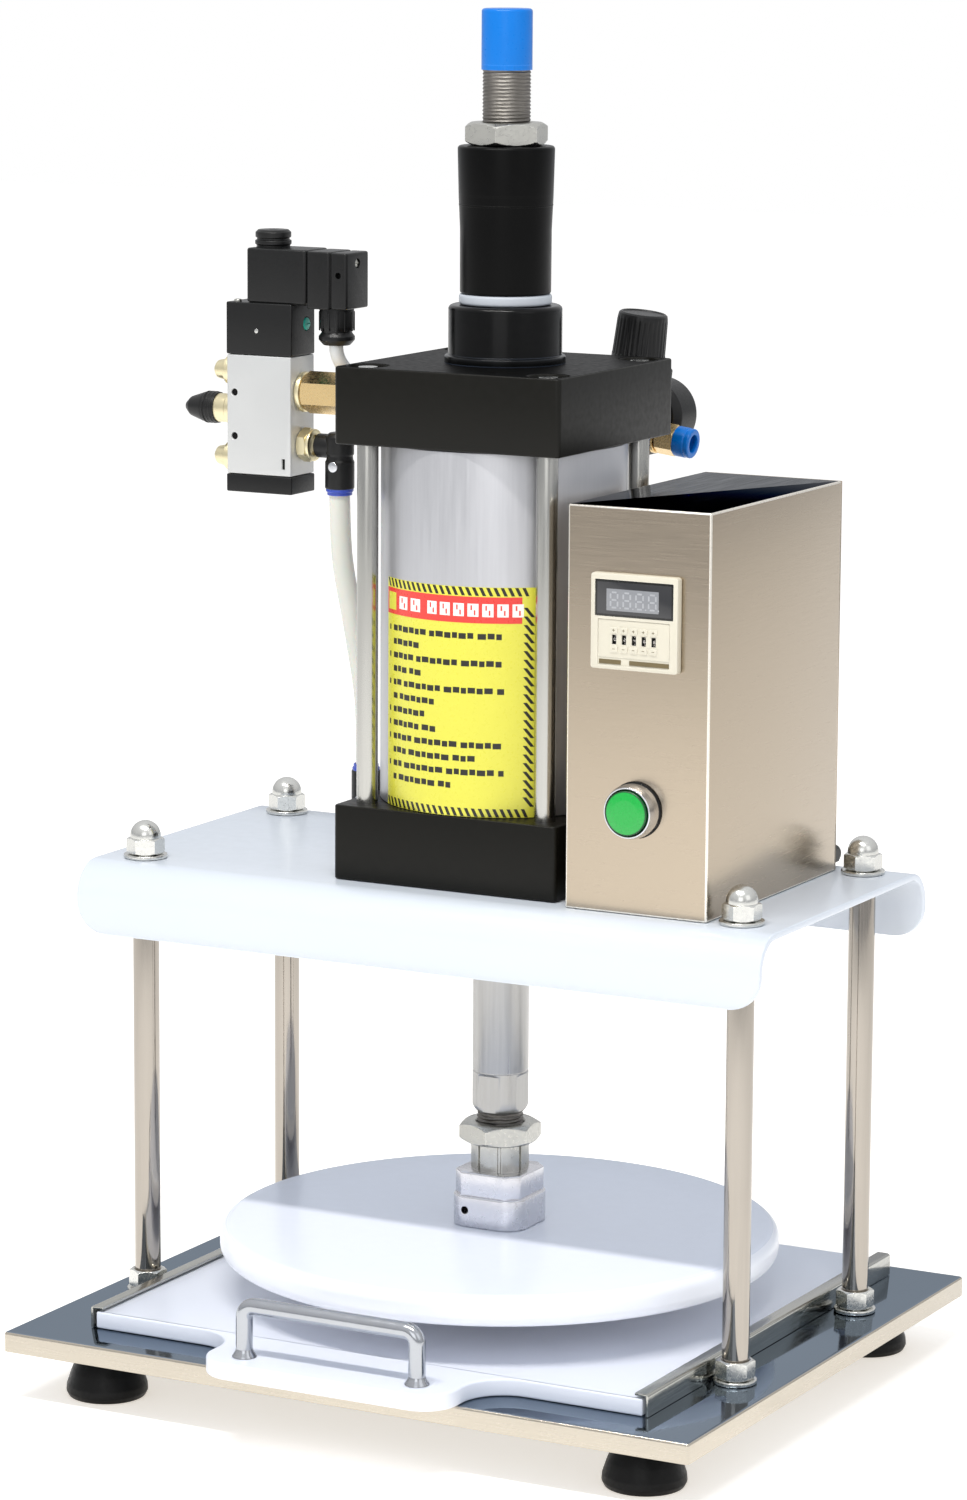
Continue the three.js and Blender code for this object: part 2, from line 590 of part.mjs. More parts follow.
function timerCase() {
  const face = BOX.front - TIMER.proud;
  const half = TIMER.side / 2;
  const inner = TIMER.body / 2;
  const plate = 0.8;
  const span = WHEEL.pitch * WHEEL.count / 2;
  let timer = box([TIMER.x - half, TIMER.x + half], [face, BOX.front - GAP], [TIMER.z - half, TIMER.z + half]);
  timer = timer.add(box([TIMER.x - inner, TIMER.x + inner], [BOX.front - 1, BOX.front + TIMER.depth],
    [TIMER.z - inner, TIMER.z + inner]));
  timer = timer.subtract(box([TIMER.x - TIMER_WINDOW.width / 2, TIMER.x + TIMER_WINDOW.width / 2],
    [face - 1, face + TIMER_WINDOW.depth],
    [TIMER_WINDOW.z - TIMER_WINDOW.height / 2, TIMER_WINDOW.z + TIMER_WINDOW.height / 2]));
  timer = timer.subtract(box([TIMER.x - span, TIMER.x + span],
    [face + plate, face + plate + 2 * WHEEL.radius + 1],
    [WHEEL.z - WHEEL.radius - 0.5, WHEEL.z + WHEEL.radius + 0.5]));
  for (let i = 0; i < WHEEL.count; i += 1) {
    const x = wheelX(i);
    timer = timer.subtract(box([x - WHEEL.slotWidth / 2, x + WHEEL.slotWidth / 2], [face - 1, face + 2],
      [WHEEL.z - WHEEL.slotHeight / 2, WHEEL.z + WHEEL.slotHeight / 2]));
  }
  return timer;
}

function wheelX(i) {
  return TIMER.x + (i - (WHEEL.count - 1) / 2) * WHEEL.pitch;
}
part(controls, 'timer_case', timerCase(), FINISH.ivoryPlastic);

const WHEEL_Y = BOX.front - TIMER.proud + 0.8 + 0.4 + WHEEL.radius;
const wheelSolid = rod(WHEEL.radius, -WHEEL.width / 2, WHEEL.width / 2, 10, TO_X);
for (let i = 0; i < WHEEL.count; i += 1) {
  part(controls, `digit_wheel_${i + 1}`, wheelSolid, FINISH.blackPlastic, [wheelX(i), WHEEL_Y, WHEEL.z]);
}

// Ring, threaded barrel and contact block; heights run outwards from the panel's face.
const button = group(controls, [BUTTON.x, BOX.front, BUTTON.z]);

function buttonBezel() {
  const { ring, barrel, head, stem, ringDepth, wellDepth } = BUTTON;
  const bezel = turned([[0, -52], [barrel, -52], [barrel, GAP], [ring, GAP], [ring, ringDepth - 4],
    [ring - 1, ringDepth], [0, ringDepth]], 20, TO_MINUS_Y);
  const well = rod(head + 0.4, ringDepth - wellDepth, ringDepth + 1, 20, TO_MINUS_Y);
  const bore = rod(stem + 0.4, -30, ringDepth, 16, TO_MINUS_Y);
  return bezel.add(box([-14, 14], [32, 56], [-10, 10])).subtract(well).subtract(bore);
}
part(button, 'button_bezel', buttonBezel(), FINISH.chrome);

function buttonCap() {
  const { head, stem } = BUTTON;
  const { proud, headDepth, stemDepth } = BUTTON_CAP;
  const back = proud - headDepth;
  return turned([[0, back - stemDepth], [stem, back - stemDepth], [stem, back], [head, back],
    [head, proud - 1.6], [head - 0.6, proud - 0.7], [head - 1.8, proud], [0, proud]], 20, TO_MINUS_Y);
}
part(button, 'button_cap', buttonCap(), FINISH.greenPlastic);

function cableGland() {
  const r = GLAND.radius;
  const gland = turned([[0, -14], [r, -14], [r - 0.6, -9], [r, -9], [r, -GAP], [r - 1, -GAP], [r - 1, 8],
    [0, 8]], 12, TO_MINUS_Y);
  return gland.subtract(rod(3, -15, 9, 10, TO_MINUS_Y));
}
part(controls, 'cable_gland', cableGland(), FINISH.blackPlastic, [GLAND.x, BOX.back, GLAND.z]);

// ---------- solenoid valve beside the top cap ----------
const valve = group(frame);
const VALVE_Y = (VALVE.front + VALVE.back) / 2;
const VALVE_DEPTH = [VALVE.front, VALVE.back];

function valveBody() {
  let body = box([VALVE.left, VALVE.right], VALVE_DEPTH, [VALVE.bottom, VALVE.top]);
  body = body.subtract(rod(8, VALVE.right - 8, VALVE.right + 1, 14, TO_X, [0, AXIS.y, NIPPLE.z]));
  return body.subtract(rod(7.3, VALVE.right - 8, VALVE.right + 1, 14, TO_X, [0, AXIS.y, UPPER_PORT_Z]));
}
part(valve, 'valve_body', valveBody(), FINISH.valveBody);

let pilotCap = box([VALVE.left - 0.5, VALVE.right + 0.5], VALVE_DEPTH, [VALVE.top + GAP, VALVE_CAP.top]);
pilotCap = pilotCap.subtract(rod(4, VALVE.right - 6, VALVE.right + 2, 12, TO_X, [0, -1, 599]));
part(valve, 'valve_pilot_cap', pilotCap, FINISH.blackPlastic);
part(valve, 'override_button', turned([[0, VALVE.right - 3], [3.6, VALVE.right - 3],
  [3.6, VALVE.right + 0.6], [3, VALVE.right + 1.2], [0, VALVE.right + 1.2]], 12, TO_X), FINISH.tealPlastic,
  [0, -1, 599]);
const endCap = box([VALVE.left - 0.5, VALVE.right + 0.5], VALVE_DEPTH,
  [VALVE_CAP.endBottom, VALVE.bottom - GAP]);
part(valve, 'valve_end_cap', endCap, FINISH.blackPlastic);

const COIL_DEPTH = [VALVE.front + 0.5, VALVE.back - 0.5];
let coil = box([COIL.left, COIL.right], COIL_DEPTH, [VALVE_CAP.top + GAP, COIL.top]);
coil = coil.add(rod(COIL.nutRadius, COIL.top - 1, COIL.nutTop, 16, TO_Z, [COIL.nutX, VALVE_Y, 0]));
part(valve, 'solenoid_coil', coil, FINISH.blackPlastic);

function coilPlug() {
  const { right, bottom, glandX, glandRadius, glandBottom } = PLUG;
  const collar = turned([[0, glandBottom], [glandRadius - 2, glandBottom], [glandRadius, glandBottom + 3],
    [glandRadius, glandBottom + 5], [glandRadius - 1.5, glandBottom + 8], [glandRadius, glandBottom + 9],
    [glandRadius, bottom + 1], [0, bottom + 1]], 16, TO_Z, [glandX, VALVE_Y, 0]);
  const plug = box([COIL.right + GAP, right], COIL_DEPTH, [bottom, COIL.top - 0.5]).add(collar);
  return plug.subtract(rod(CABLE_RADIUS + 0.8, glandBottom - 1, glandBottom + 10, 12, TO_Z,
    [glandX, VALVE_Y, 0]));
}
part(valve, 'coil_plug', coilPlug(), FINISH.blackPlastic);

// Brass nipple from the valve into the top cap's left port.
function valveNipple() {
  const capFace = AXIS.x - CAP.side / 2;
  const start = VALVE.right + GAP;
  let nipple = rod(11.5, start, start + 3.5, 16, TO_X);
  nipple = nipple.add(rod(7.6, start - 7, start + 1, 12, TO_X));
  nipple = nipple.add(hexPrism(NIPPLE.hex, start + 3, NIPPLE.hexEnd, TO_X));
  return nipple.add(rod(NIPPLE.thread, NIPPLE.hexEnd - 1, capFace + 10, 12, TO_X));
}
part(valve, 'valve_nipple', valveNipple(), FINISH.brass, [0, AXIS.y, NIPPLE.z]);

// Push-in elbow: screwed stud along X from `studX`, tube socket along Z up to `end`.
function pushInElbow(studX, cornerX, portZ, end) {
  const { radius } = ELBOW;
  const [low, high] = end < portZ ? [end, portZ + radius] : [portZ - radius, end];
  const [studLow, studHigh] = studX < cornerX ? [studX, cornerX] : [cornerX, studX];
  let elbow = rod(radius, low, high, 16, TO_Z, [cornerX, 0, 0]);
  elbow = elbow.add(rod(7, studLow, studHigh, 12, TO_X, [0, 0, portZ]));
  const socket = end < portZ ? [end - 1, end + 14] : [end - 14, end + 1];
  return elbow.subtract(rod(AIR_TUBE.radius + GAP, socket[0], socket[1], 14, TO_Z, [cornerX, 0, 0]));
}
const capFace = AXIS.x - CAP.side / 2;
let upperElbow = pushInElbow(VALVE.right - 6, ELBOW.upperX, UPPER_PORT_Z, ELBOW.upperBottom);
upperElbow = upperElbow.add(hexPrism(24, VALVE.right + GAP, VALVE.right + 6, TO_X.clone())
  .translate([0, 0, UPPER_PORT_Z]));
part(valve, 'upper_elbow', upperElbow, FINISH.blackPlastic, [0, AXIS.y, 0]);
const lowerElbow = pushInElbow(capFace + 8, ELBOW.lowerX, LOWER_PORT_Z, ELBOW.lowerTop);
part(valve, 'lower_elbow', lowerElbow, FINISH.blackPlastic, [0, AXIS.y, 0]);

// Air tube pushed 12 mm into both elbows.
const tubeTop = ELBOW.upperBottom + 12;
const tubeFoot = ELBOW.lowerTop - 12;
const tubePath = new THREE.CatmullRomCurve3([
  vector([ELBOW.upperX, AXIS.y, tubeTop]),
  vector([ELBOW.upperX, AXIS.y, tubeTop - 16]),
  vector([ELBOW.upperX + 2, AXIS.y, tubeTop - 50]),
  vector([(ELBOW.upperX + ELBOW.lowerX) / 2 + 1, AXIS.y, (tubeTop + tubeFoot) / 2]),
  vector([ELBOW.lowerX - 1, AXIS.y, tubeFoot + 50]),
  vector([ELBOW.lowerX, AXIS.y, tubeFoot + 16]),
  vector([ELBOW.lowerX, AXIS.y, tubeFoot]),
]);
part(valve, 'air_tube', alongCurve(tubePath, AIR_TUBE.radius, 0, 14, 4), FINISH.airTube);

// Lead from the coil plug, round the back of the cylinder, into the control box.
const leadPath = new THREE.CatmullRomCurve3([
  vector([PLUG.glandX, VALVE_Y, PLUG.glandBottom + 9]),
  vector([PLUG.glandX, VALVE_Y, PLUG.glandBottom - 4]),
  vector([PLUG.glandX + 1, VALVE_Y + 8, 574]),
  vector([-97, 20, 562]),
  vector([-92, 48, 542]),
  vector([-78, 72, 514]),
  vector([-52, 86, 490]),
  vector([-18, 92, 474]),
  vector([18, 92, 466]),
  vector([48, 84, 465]),
  vector([70, 72, 468]),
  vector([80, 66.5, 470]),
  vector([BOX.left + 6, 66, 470]),
]);
part(valve, 'valve_lead', alongCurve(leadPath, CABLE_RADIUS, 0, 28, 4), FINISH.cable);

// ---------- pressure regulator behind the cylinder, leaning slightly ----------
const regulator = group(frame, [REGULATOR.x, REGULATOR.y, REGULATOR.z]);
regulator.rotation.y = REGULATOR.tilt;

function regulatorBody() {
  const { half, top, bottom, portZ } = REGULATOR;
  const reach = REGULATOR.y - AXIS.y - CAP.side / 2 - 0.8;
  let body = box([-half, half], [-half, half], [bottom, top - 3]);
  body = body.add(rod(half - 2, top - 4, top, 16));
  body = body.add(rod(half - 6, top - 1, KNOB.top - 8, 16));
  body = body.add(rod(9, half - 1, half + 3, 12, TO_X, [0, 0, portZ]));
  body = body.add(rod(7, -GAUGE.near + 1, -half + 1, 10, TO_MINUS_Y, [0, 0, GAUGE.z]));
  return body.add(box([-12, 12], [-reach, -half + 1], [-12, 6]));
}
part(regulator, 'regulator_body', regulatorBody(), FINISH.blackPaint);

function regulatorKnob() {
  const { radius, top, bottom } = KNOB;
  const post = REGULATOR.half - 6;
  const knob = turned([[0, bottom], [radius, bottom], [radius, bottom + 3], [radius - 1.2, top - 2],
    [radius - 2.4, top], [0, top]], 20);
  return knob.subtract(rod(post + 0.5, bottom - 1, top - 7.5, 16));
}
part(regulator, 'regulator_knob', regulatorKnob(), FINISH.blackPlastic);

function pressureGauge() {
  const { radius, near, far } = GAUGE;
  return turned([[0, -far], [radius - 1.5, -far], [radius, -far + 1.5], [radius, -near - 4],
    [radius - 4, -near - GAP], [0, -near - GAP]], 20, TO_MINUS_Y, [0, 0, GAUGE.z]);
}
part(regulator, 'pressure_gauge', pressureGauge(), FINISH.blackPlastic);

// Brass hexagon and blue release collar with the socket for the supply hose.
function inletFitting() {
  const start = REGULATOR.half + 3 + GAP;
  let fitting = hexPrism(16, start, start + 12, TO_X);
  fitting = fitting.add(rod(8.7, start + 11, start + 22, 16, TO_X));
  return fitting.subtract(rod(5.1, start + 4, start + 23, 12, TO_X));
}
part(regulator, 'inlet_fitting', inletFitting(), FINISH.brass, [0, 0, REGULATOR.portZ]);

export default press;
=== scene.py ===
"""Looks of the bench-top pneumatic press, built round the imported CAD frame.

Lengths are millimetres, measured from the middle of the tray and from the floor. They turn into the row
frame's metres where a mesh is made.
"""

import math

import bmesh
import bpy
from mathutils import Matrix, Vector
from mathutils.geometry import tessellate_polygon


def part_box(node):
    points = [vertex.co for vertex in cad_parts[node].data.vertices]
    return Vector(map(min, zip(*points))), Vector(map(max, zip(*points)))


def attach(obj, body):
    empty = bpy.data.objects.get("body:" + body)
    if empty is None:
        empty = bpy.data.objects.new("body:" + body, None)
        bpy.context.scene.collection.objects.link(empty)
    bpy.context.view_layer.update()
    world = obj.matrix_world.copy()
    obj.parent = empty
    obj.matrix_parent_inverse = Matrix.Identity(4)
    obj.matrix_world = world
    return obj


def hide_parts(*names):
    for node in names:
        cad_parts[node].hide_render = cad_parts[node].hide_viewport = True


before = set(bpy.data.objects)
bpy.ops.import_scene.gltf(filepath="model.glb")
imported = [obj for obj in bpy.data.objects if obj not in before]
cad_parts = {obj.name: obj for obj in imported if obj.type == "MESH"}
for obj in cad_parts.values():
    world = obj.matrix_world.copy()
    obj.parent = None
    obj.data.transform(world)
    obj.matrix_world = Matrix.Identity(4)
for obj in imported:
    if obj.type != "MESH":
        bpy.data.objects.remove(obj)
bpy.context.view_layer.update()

MM = 0.001
tray_low, tray_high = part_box("base_tray")
ORIGIN_Y = (tray_low.y + tray_high.y) / 2 / MM
cap_low, cap_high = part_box("top_cap")
AXIS_X = (cap_low.x + cap_high.x) / 2 / MM
AXIS_Y = (cap_low.y + cap_high.y) / 2 / MM - ORIGIN_Y


# ---------- outlines and solids: each solid is (vertices, faces) ----------
def circle(radius, count, phase=0.0):
    angles = [phase + 2 * math.pi * k / count for k in range(count)]
    return [(radius * math.cos(a), radius * math.sin(a)) for a in angles]


def soften(points, radius, steps=4, closed=True):
    """The polyline with its corners rounded; a point may carry its own radius as a third number."""
    made = []
    count = len(points)
    for k, point in enumerate(points):
        here = Vector(point[:2])
        own = point[2] if len(point) > 2 else radius
        if own <= 0 or (not closed and k in (0, count - 1)):
            made.append(tuple(here))
            continue
        to_last = Vector(points[k - 1][:2]) - here
        to_next = Vector(points[(k + 1) % count][:2]) - here
        angle = to_last.angle(to_next, math.pi)
        if angle > 3.1:
            made.append(tuple(here))
            continue
        reach = min(own / math.tan(angle / 2), 0.49 * to_last.length, 0.49 * to_next.length)
        real = reach * math.tan(angle / 2)
        bisector = (to_last.normalized() + to_next.normalized()).normalized()
        centre = here + bisector * (real / math.sin(angle / 2))
        start = here + to_last.normalized() * reach - centre
        turn = start.angle_signed(here + to_next.normalized() * reach - centre, 0)
        for s in range(steps + 1):
            a = -turn * s / steps
            made.append(
                (
                    centre.x + start.x * math.cos(a) - start.y * math.sin(a),
                    centre.y + start.x * math.sin(a) + start.y * math.cos(a),
                )
            )
    return made


def rect(width, depth, radius, steps=5, centre=(0, 0)):
    w, d = width / 2, depth / 2
    cx, cy = centre
    corners = [(cx - w, cy - d), (cx + w, cy - d), (cx + w, cy + d), (cx - w, cy + d)]
    return soften(corners, radius, steps)


def inset(outline, distance):
    """The anticlockwise outline moved inwards."""
    made = []
    count = len(outline)
    for k, point in enumerate(outline):
        here = Vector(point)
        before = (here - Vector(outline[k - 1])).normalized()
        after = (Vector(outline[(k + 1) % count]) - here).normalized()
        normal = Vector((-before.y - after.y, before.x + after.x))
        if normal.length < 1e-6:
            normal = Vector((-after.y, after.x))
        normal.normalize()
        share = max(0.4, normal.dot(Vector((-after.y, after.x))))
        made.append(tuple(here + normal * (distance / share)))
    return made


def loft(rings, closed=False):
    """A skin through rings of equal length, capped at both ends unless closed."""
    count = len(rings[0])
    verts = [tuple(p) for ring in rings for p in ring]
    faces = []
    rows = len(rings)
    for row in range(rows if closed else rows - 1):
        a, b = row * count, ((row + 1) % rows) * count
        for k in range(count):
            n = (k + 1) % count
            faces.append((a + k, a + n, b + n, b + k))
    if not closed:
        faces.append(tuple(reversed(range(count))))
        faces.append(tuple(range((rows - 1) * count, rows * count)))
    return verts, faces


def lathe(profile, count=64, closed=False):
    """Turned from (radius, height) points."""
    return loft([[(x, y, z) for x, y in circle(r, count)] for r, z in profile], closed)


def turned(points, count=64, radius=0.4, closed=False, steps=3):
    """Turned from corner points, with every corner eased."""
    return lathe(soften(points, radius, steps, closed), count, closed)


def plain_ring(inner, outer, low, high, count=56, ease=0.4, steps=3):
    """A washer with eased edges."""
    return turned([(inner, low), (outer, low), (outer, high), (inner, high)], count, ease, True, steps)


def plain_disc(core, radius, low, high, count=56, ease=0.4):
    """A turned solid with an eased rim; core is the small radius where its rings end."""
    return turned([(core, low), (radius, low), (radius, high), (core, high)], count, ease)


def quarter(bevel, steps=3):
    """(inset, depth) pairs of a rounded edge, from the side wall to the flat face."""
    return [
        (bevel * (1 - math.cos(math.pi / 2 * k / steps)), bevel * (1 - math.sin(math.pi / 2 * k / steps)))
        for k in range(steps + 1)
    ]


def prism(outline, low, high, bevel=0.5, steps=3, foot_bevel=None):
    foot = bevel if foot_bevel is None else foot_bevel
    rings = []
    for margin, depth in reversed(quarter(foot, steps)):
        rings.append([(x, y, low + depth) for x, y in inset(outline, margin)])
    for margin, depth in quarter(bevel, steps):
        rings.append([(x, y, high - depth) for x, y in inset(outline, margin)])
    return loft(rings)


def block(low, high, corner=0.6, bevel=0.6, steps=3):
    """A box with every edge rounded."""
    outline = rect(
        high[0] - low[0], high[1] - low[1], corner, 4, ((low[0] + high[0]) / 2, (low[1] + high[1]) / 2)
    )
    return prism(outline, low[2], high[2], bevel, steps)


def shaped_rings(levels, count, reach, turn=0.0):
    """Rings at the (height, limit) levels; reach(angle, height, limit) is the radius."""
    rings = []
    for z, limit in levels:
        ring = []
        for k in range(count):
            a = 2 * math.pi * k / count
            r = reach(a, z, limit)
            ring.append((r * math.cos(a + turn), r * math.sin(a + turn), z))
        rings.append(ring)
    return rings


def round_rings(pairs, count, turn=0.0):
    """Rings from (radius, height) pairs."""
    return [[(x, y, z) for x, y in circle(r, count, turn)] for r, z in pairs]


def hexnut(across_flats, low, high, bore=0.0, chamfer_top=True, turn=0.0, count=96):
    """A hexagon whose corners are turned off at 30 degrees, with a countersunk bore."""
    corner = across_flats / math.sqrt(3)
    start = across_flats / 2 * 0.96
    rise = (corner - start) * math.tan(math.radians(30))
    levels = [(low + rise * k / 8, start + (corner - start) * k / 8) for k in range(9)]
    levels += [(high + low - z, limit if chamfer_top else corner) for z, limit in reversed(levels)]

    def reach(a, z, limit):
        flat = across_flats / 2 / math.cos((a + math.pi / 6) % (math.pi / 3) - math.pi / 6)
        return min(flat, limit)

    rings = shaped_rings(levels, count, reach, turn)
    if bore <= 0:
        return loft(rings)
    hole = ((bore + 0.9, high), (bore, high - 0.9), (bore, low + 0.9), (bore + 0.9, low))
    return loft(rings + round_rings(hole, count, turn), closed=True)


def screw_thread(radius, depth, pitch, low, high, count=40, per_turn=6):
    """A rod with a real helical thread."""
    rows = int((high - low) / pitch * per_turn)

    def reach(a, z, fade):
        phase = (z / pitch - a / (2 * math.pi)) % 1.0
        return radius - depth * (1 - abs(2 * phase - 1)) * fade - depth * (1 - fade)

    heights = [low + (high - low) * row / rows for row in range(rows + 1)]
    levels = [(z, min(1.0, (z - low) / pitch, (high - z) / pitch)) for z in heights]
    return loft(shaped_rings(levels, count, reach))


def spline(points, per_span=8):
    """A smooth line through the points."""
    pts = [Vector(p) for p in points]
    pts = [2 * pts[0] - pts[1]] + pts + [2 * pts[-1] - pts[-2]]
    made = []
    for k in range(1, len(pts) - 2):
        a, b, c, d = pts[k - 1 : k + 3]
        for s in range(per_span):
            t = s / per_span
            bend = (2 * a - 5 * b + 4 * c - d) * t * t + (3 * b - a - 3 * c + d) * t**3
            made.append(0.5 * (2 * b + (c - a) * t + bend))
    made.append(pts[-2])
    return made


def sweep(path, radius, count=24):
    """A round bar along a line; radius may be a function of the share of its length."""
    path = [Vector(p) for p in path]
    tangents = []
    for k in range(len(path)):
        tangents.append((path[min(k + 1, len(path) - 1)] - path[max(k - 1, 0)]).normalized())
    side = tangents[0].orthogonal().normalized()
    rings = []
    for k, point in enumerate(path):
        side = (side - tangents[k] * side.dot(tangents[k])).normalized()
        up = tangents[k].cross(side)
        r = radius(k / (len(path) - 1)) if callable(radius) else radius
        rings.append([point + side * x + up * y for x, y in circle(r, count)])
    return loft(rings)


def carried(place, shape):
    """The solid moved by a matrix."""
    return [tuple(place @ Vector(v)) for v in shape[0]], shape[1]


def move(shape, at=(0, 0, 0), along=None):
    """The solid carried so that its Z axis points along `along` and its origin is at `at`."""
    place = Matrix.Translation(Vector(at))
    if along is not None:
        place = place @ Vector(along).normalized().to_track_quat("Z", "Y").to_matrix().to_4x4()
    return carried(place, shape)


def to_x(shape, at=(0, 0, 0)):
    """Z to +X, X to +Y, Y to +Z."""
    return [(z + at[0], x + at[1], y + at[2]) for x, y, z in shape[0]], shape[1]


def to_front(shape, at=(0, 0, 0)):
    """Z to -Y, Y to +Z."""
    return [(x + at[0], -z + at[1], y + at[2]) for x, y, z in shape[0]], shape[1]


def to_back(shape, at=(0, 0, 0)):
    """Z to +Y, Y to +Z."""
    return [(-x + at[0], z + at[1], y + at[2]) for x, y, z in shape[0]], shape[1]


def flat_outline(outline, holes, z):
    """A flat face with holes, as triangles on the loops' own points."""
    loops = [[Vector((x, y, z)) for x, y in outline]] + [[Vector((x, y, z)) for x, y in h] for h in holes]
    verts = [tuple(p) for loop in loops for p in loop]
    return verts, [tuple(t) for t in tessellate_polygon(loops)]


def pocketed(outline, low, high, bevel, pockets, edge=0.6):
    """A prism with round pockets (x, y, radius, depth) sunk in its top face."""
    verts, faces = prism(outline, low, high, bevel)
    faces = faces[:-1]
    top = inset(outline, bevel)
    mouths = [[(px + x, py + y) for x, y in circle(r + edge, 40)] for px, py, r, _ in pockets]
    cover, triangles = flat_outline(top, mouths, high)
    base = len(verts)
    verts += cover
    faces += [tuple(i + base for i in t) for t in triangles]
    for px, py, r, depth in pockets:
        rows = [(r + edge, 0), (r + edge * 0.3, -edge * 0.3), (r, -edge)]
        rows += [(r, -depth + 0.5), (r - 0.5, -depth)]
        sink, walls = loft([[(px + x, py + y, high + z) for x, y in circle(q, 40)] for q, z in rows])
        base = len(verts)
        verts += sink
        faces += [tuple(i + base for i in f) for f in walls if f != tuple(reversed(range(40)))]
    return verts, faces


def carve(shape, *cutters):
    """The solid less the cutters."""

    def temporary(solid, name):
        mesh = bpy.data.meshes.new(name)
        mesh.from_pydata(solid[0], [], solid[1])
        builder = bmesh.new()
        builder.from_mesh(mesh)
        bmesh.ops.remove_doubles(builder, verts=builder.verts, dist=1e-4)
        bmesh.ops.recalc_face_normals(builder, faces=builder.faces)
        builder.to_mesh(mesh)
        builder.free()
        made = bpy.data.objects.new(name, mesh)
        bpy.context.scene.collection.objects.link(made)
        return made

    target = temporary(shape, "carved")
    tools = [temporary(cutter, "cutter") for cutter in cutters]
    for tool in tools:
        cut = target.modifiers.new("cut", "BOOLEAN")
        cut.operation = "DIFFERENCE"
        cut.solver = "EXACT"
        cut.object = tool
    bpy.context.view_layer.update()
    result = target.evaluated_get(bpy.context.evaluated_depsgraph_get()).to_mesh()
    verts = [tuple(v.co) for v in result.vertices]
    faces = [tuple(p.vertices) for p in result.polygons]
    for made in [target, *tools]:
        mesh = made.data
        bpy.data.objects.remove(made)
        bpy.data.meshes.remove(mesh)
    return verts, faces


# ---------- pieces ----------
def made_of(finish, *solids):
    """The solids, each paired with the finish."""
    return [(solid, finish) for solid in solids]


def piece(name, body, shapes, replaces=(), at=(0, 0), sharp=32, tilt=None):
    """One object from (solid, finish) pairs; a finish is a name or a function of face centre and normal."""
    mesh = bpy.data.meshes.new(name)
    verts, faces, finishes = [], [], []
    for shape, finish in shapes:
        base = len(verts)
        verts += shape[0]
        faces += [tuple(i + base for i in f) for f in shape[1]]
        finishes += [finish] * len(shape[1])
    placed = []
    for x, y, z in verts:
        point = Vector((x, y, z))
        if tilt is not None:
            point = tilt @ point
        placed.append(((point.x + at[0]) * MM, (point.y + at[1] + ORIGIN_Y) * MM, point.z * MM))
    mesh.from_pydata(placed, [], faces)
    names = []
    builder = bmesh.new()
    builder.from_mesh(mesh)
    builder.faces.ensure_lookup_table()
    bmesh.ops.recalc_face_normals(builder, faces=builder.faces)
    for face, finish in zip(builder.faces, finishes):
        if callable(finish):
            centre = face.calc_center_median() / MM
            finish = finish(centre - Vector((at[0], at[1] + ORIGIN_Y, 0)), face.normal)
        if finish not in names:
            names.append(finish)
        face.material_index = names.index(finish)
        face.smooth = True
    limit = math.radians(sharp)
    for edge in builder.edges:
        if len(edge.link_faces) == 2 and edge.calc_face_angle(0) > limit:
            edge.smooth = False
    flaws = [f for f in builder.faces if f.calc_area() < 1e-14]
    if flaws:
        bmesh.ops.dissolve_degenerate(builder, dist=1e-7, edges=builder.edges)
    builder.to_mesh(mesh)
    builder.free()
    for finish in names:
        mesh.materials.append(FINISHES[finish])
    made = bpy.data.objects.new(name, mesh)
    bpy.context.scene.collection.objects.link(made)
    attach(made, body)
    if replaces:
        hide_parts(*replaces)
    return made


# ---------- materials ----------
FINISHES = {}


def linear(text):
    """A colour written as RRGGBB in sRGB, as linear numbers."""
    made = []
    for k in range(3):
        c = int(text[2 * k : 2 * k + 2], 16) / 255
        made.append(c / 12.92 if c <= 0.04045 else ((c + 0.055) / 1.055) ** 2.4)
    return (*made, 1.0)


def shade(color, factor):
    return (*[min(1.0, c * factor) for c in color[:3]], 1.0)


def node(tree, kind, values=(), **settings):
    """A new shader node; values are the constants of its inputs, by name or number."""
    made = tree.nodes.new("ShaderNode" + kind)
    for key, value in settings.items():
        setattr(made, key, value)
    for key, value in dict(values).items():
        made.inputs[key].default_value = value
    return made


def spread(tree, source, low, high):
    """The middle of a noise's range, stretched to run from low to high."""
    made = node(tree, "MapRange", {"From Min": 0.3, "From Max": 0.7, "To Min": low, "To Max": high})
    tree.links.new(source, made.inputs["Value"])
    return made.outputs["Result"]


def edge_wear_and_sheen(tree, last, patches, edge_color, radius):
    """The colour with an edge colour on convex edges, in patches: scuffed material on most finishes, a
    painted highlight on the boss.
    """
    link = tree.links.new
    rounded = node(tree, "Bevel", {"Radius": radius}, samples=4)
    true = node(tree, "NewGeometry")
    compare = node(tree, "VectorMath", operation="DOT_PRODUCT")
    link(rounded.outputs["Normal"], compare.inputs[0])
    link(true.outputs["Normal"], compare.inputs[1])
    edge_mask = node(tree, "MapRange", {"From Min": 0.995, "From Max": 0.85, "To Max": 0.9})
    link(compare.outputs["Value"], edge_mask.inputs["Value"])
    patchy = node(tree, "Math", operation="MULTIPLY")
    link(edge_mask.outputs["Result"], patchy.inputs[0])
    link(patches, patchy.inputs[1])
    edge_mix = node(tree, "Mix", {7: linear(edge_color)}, data_type="RGBA")
    link(last, edge_mix.inputs[6])
    link(patchy.outputs["Value"], edge_mix.inputs[0])
    return edge_mix.outputs[2]


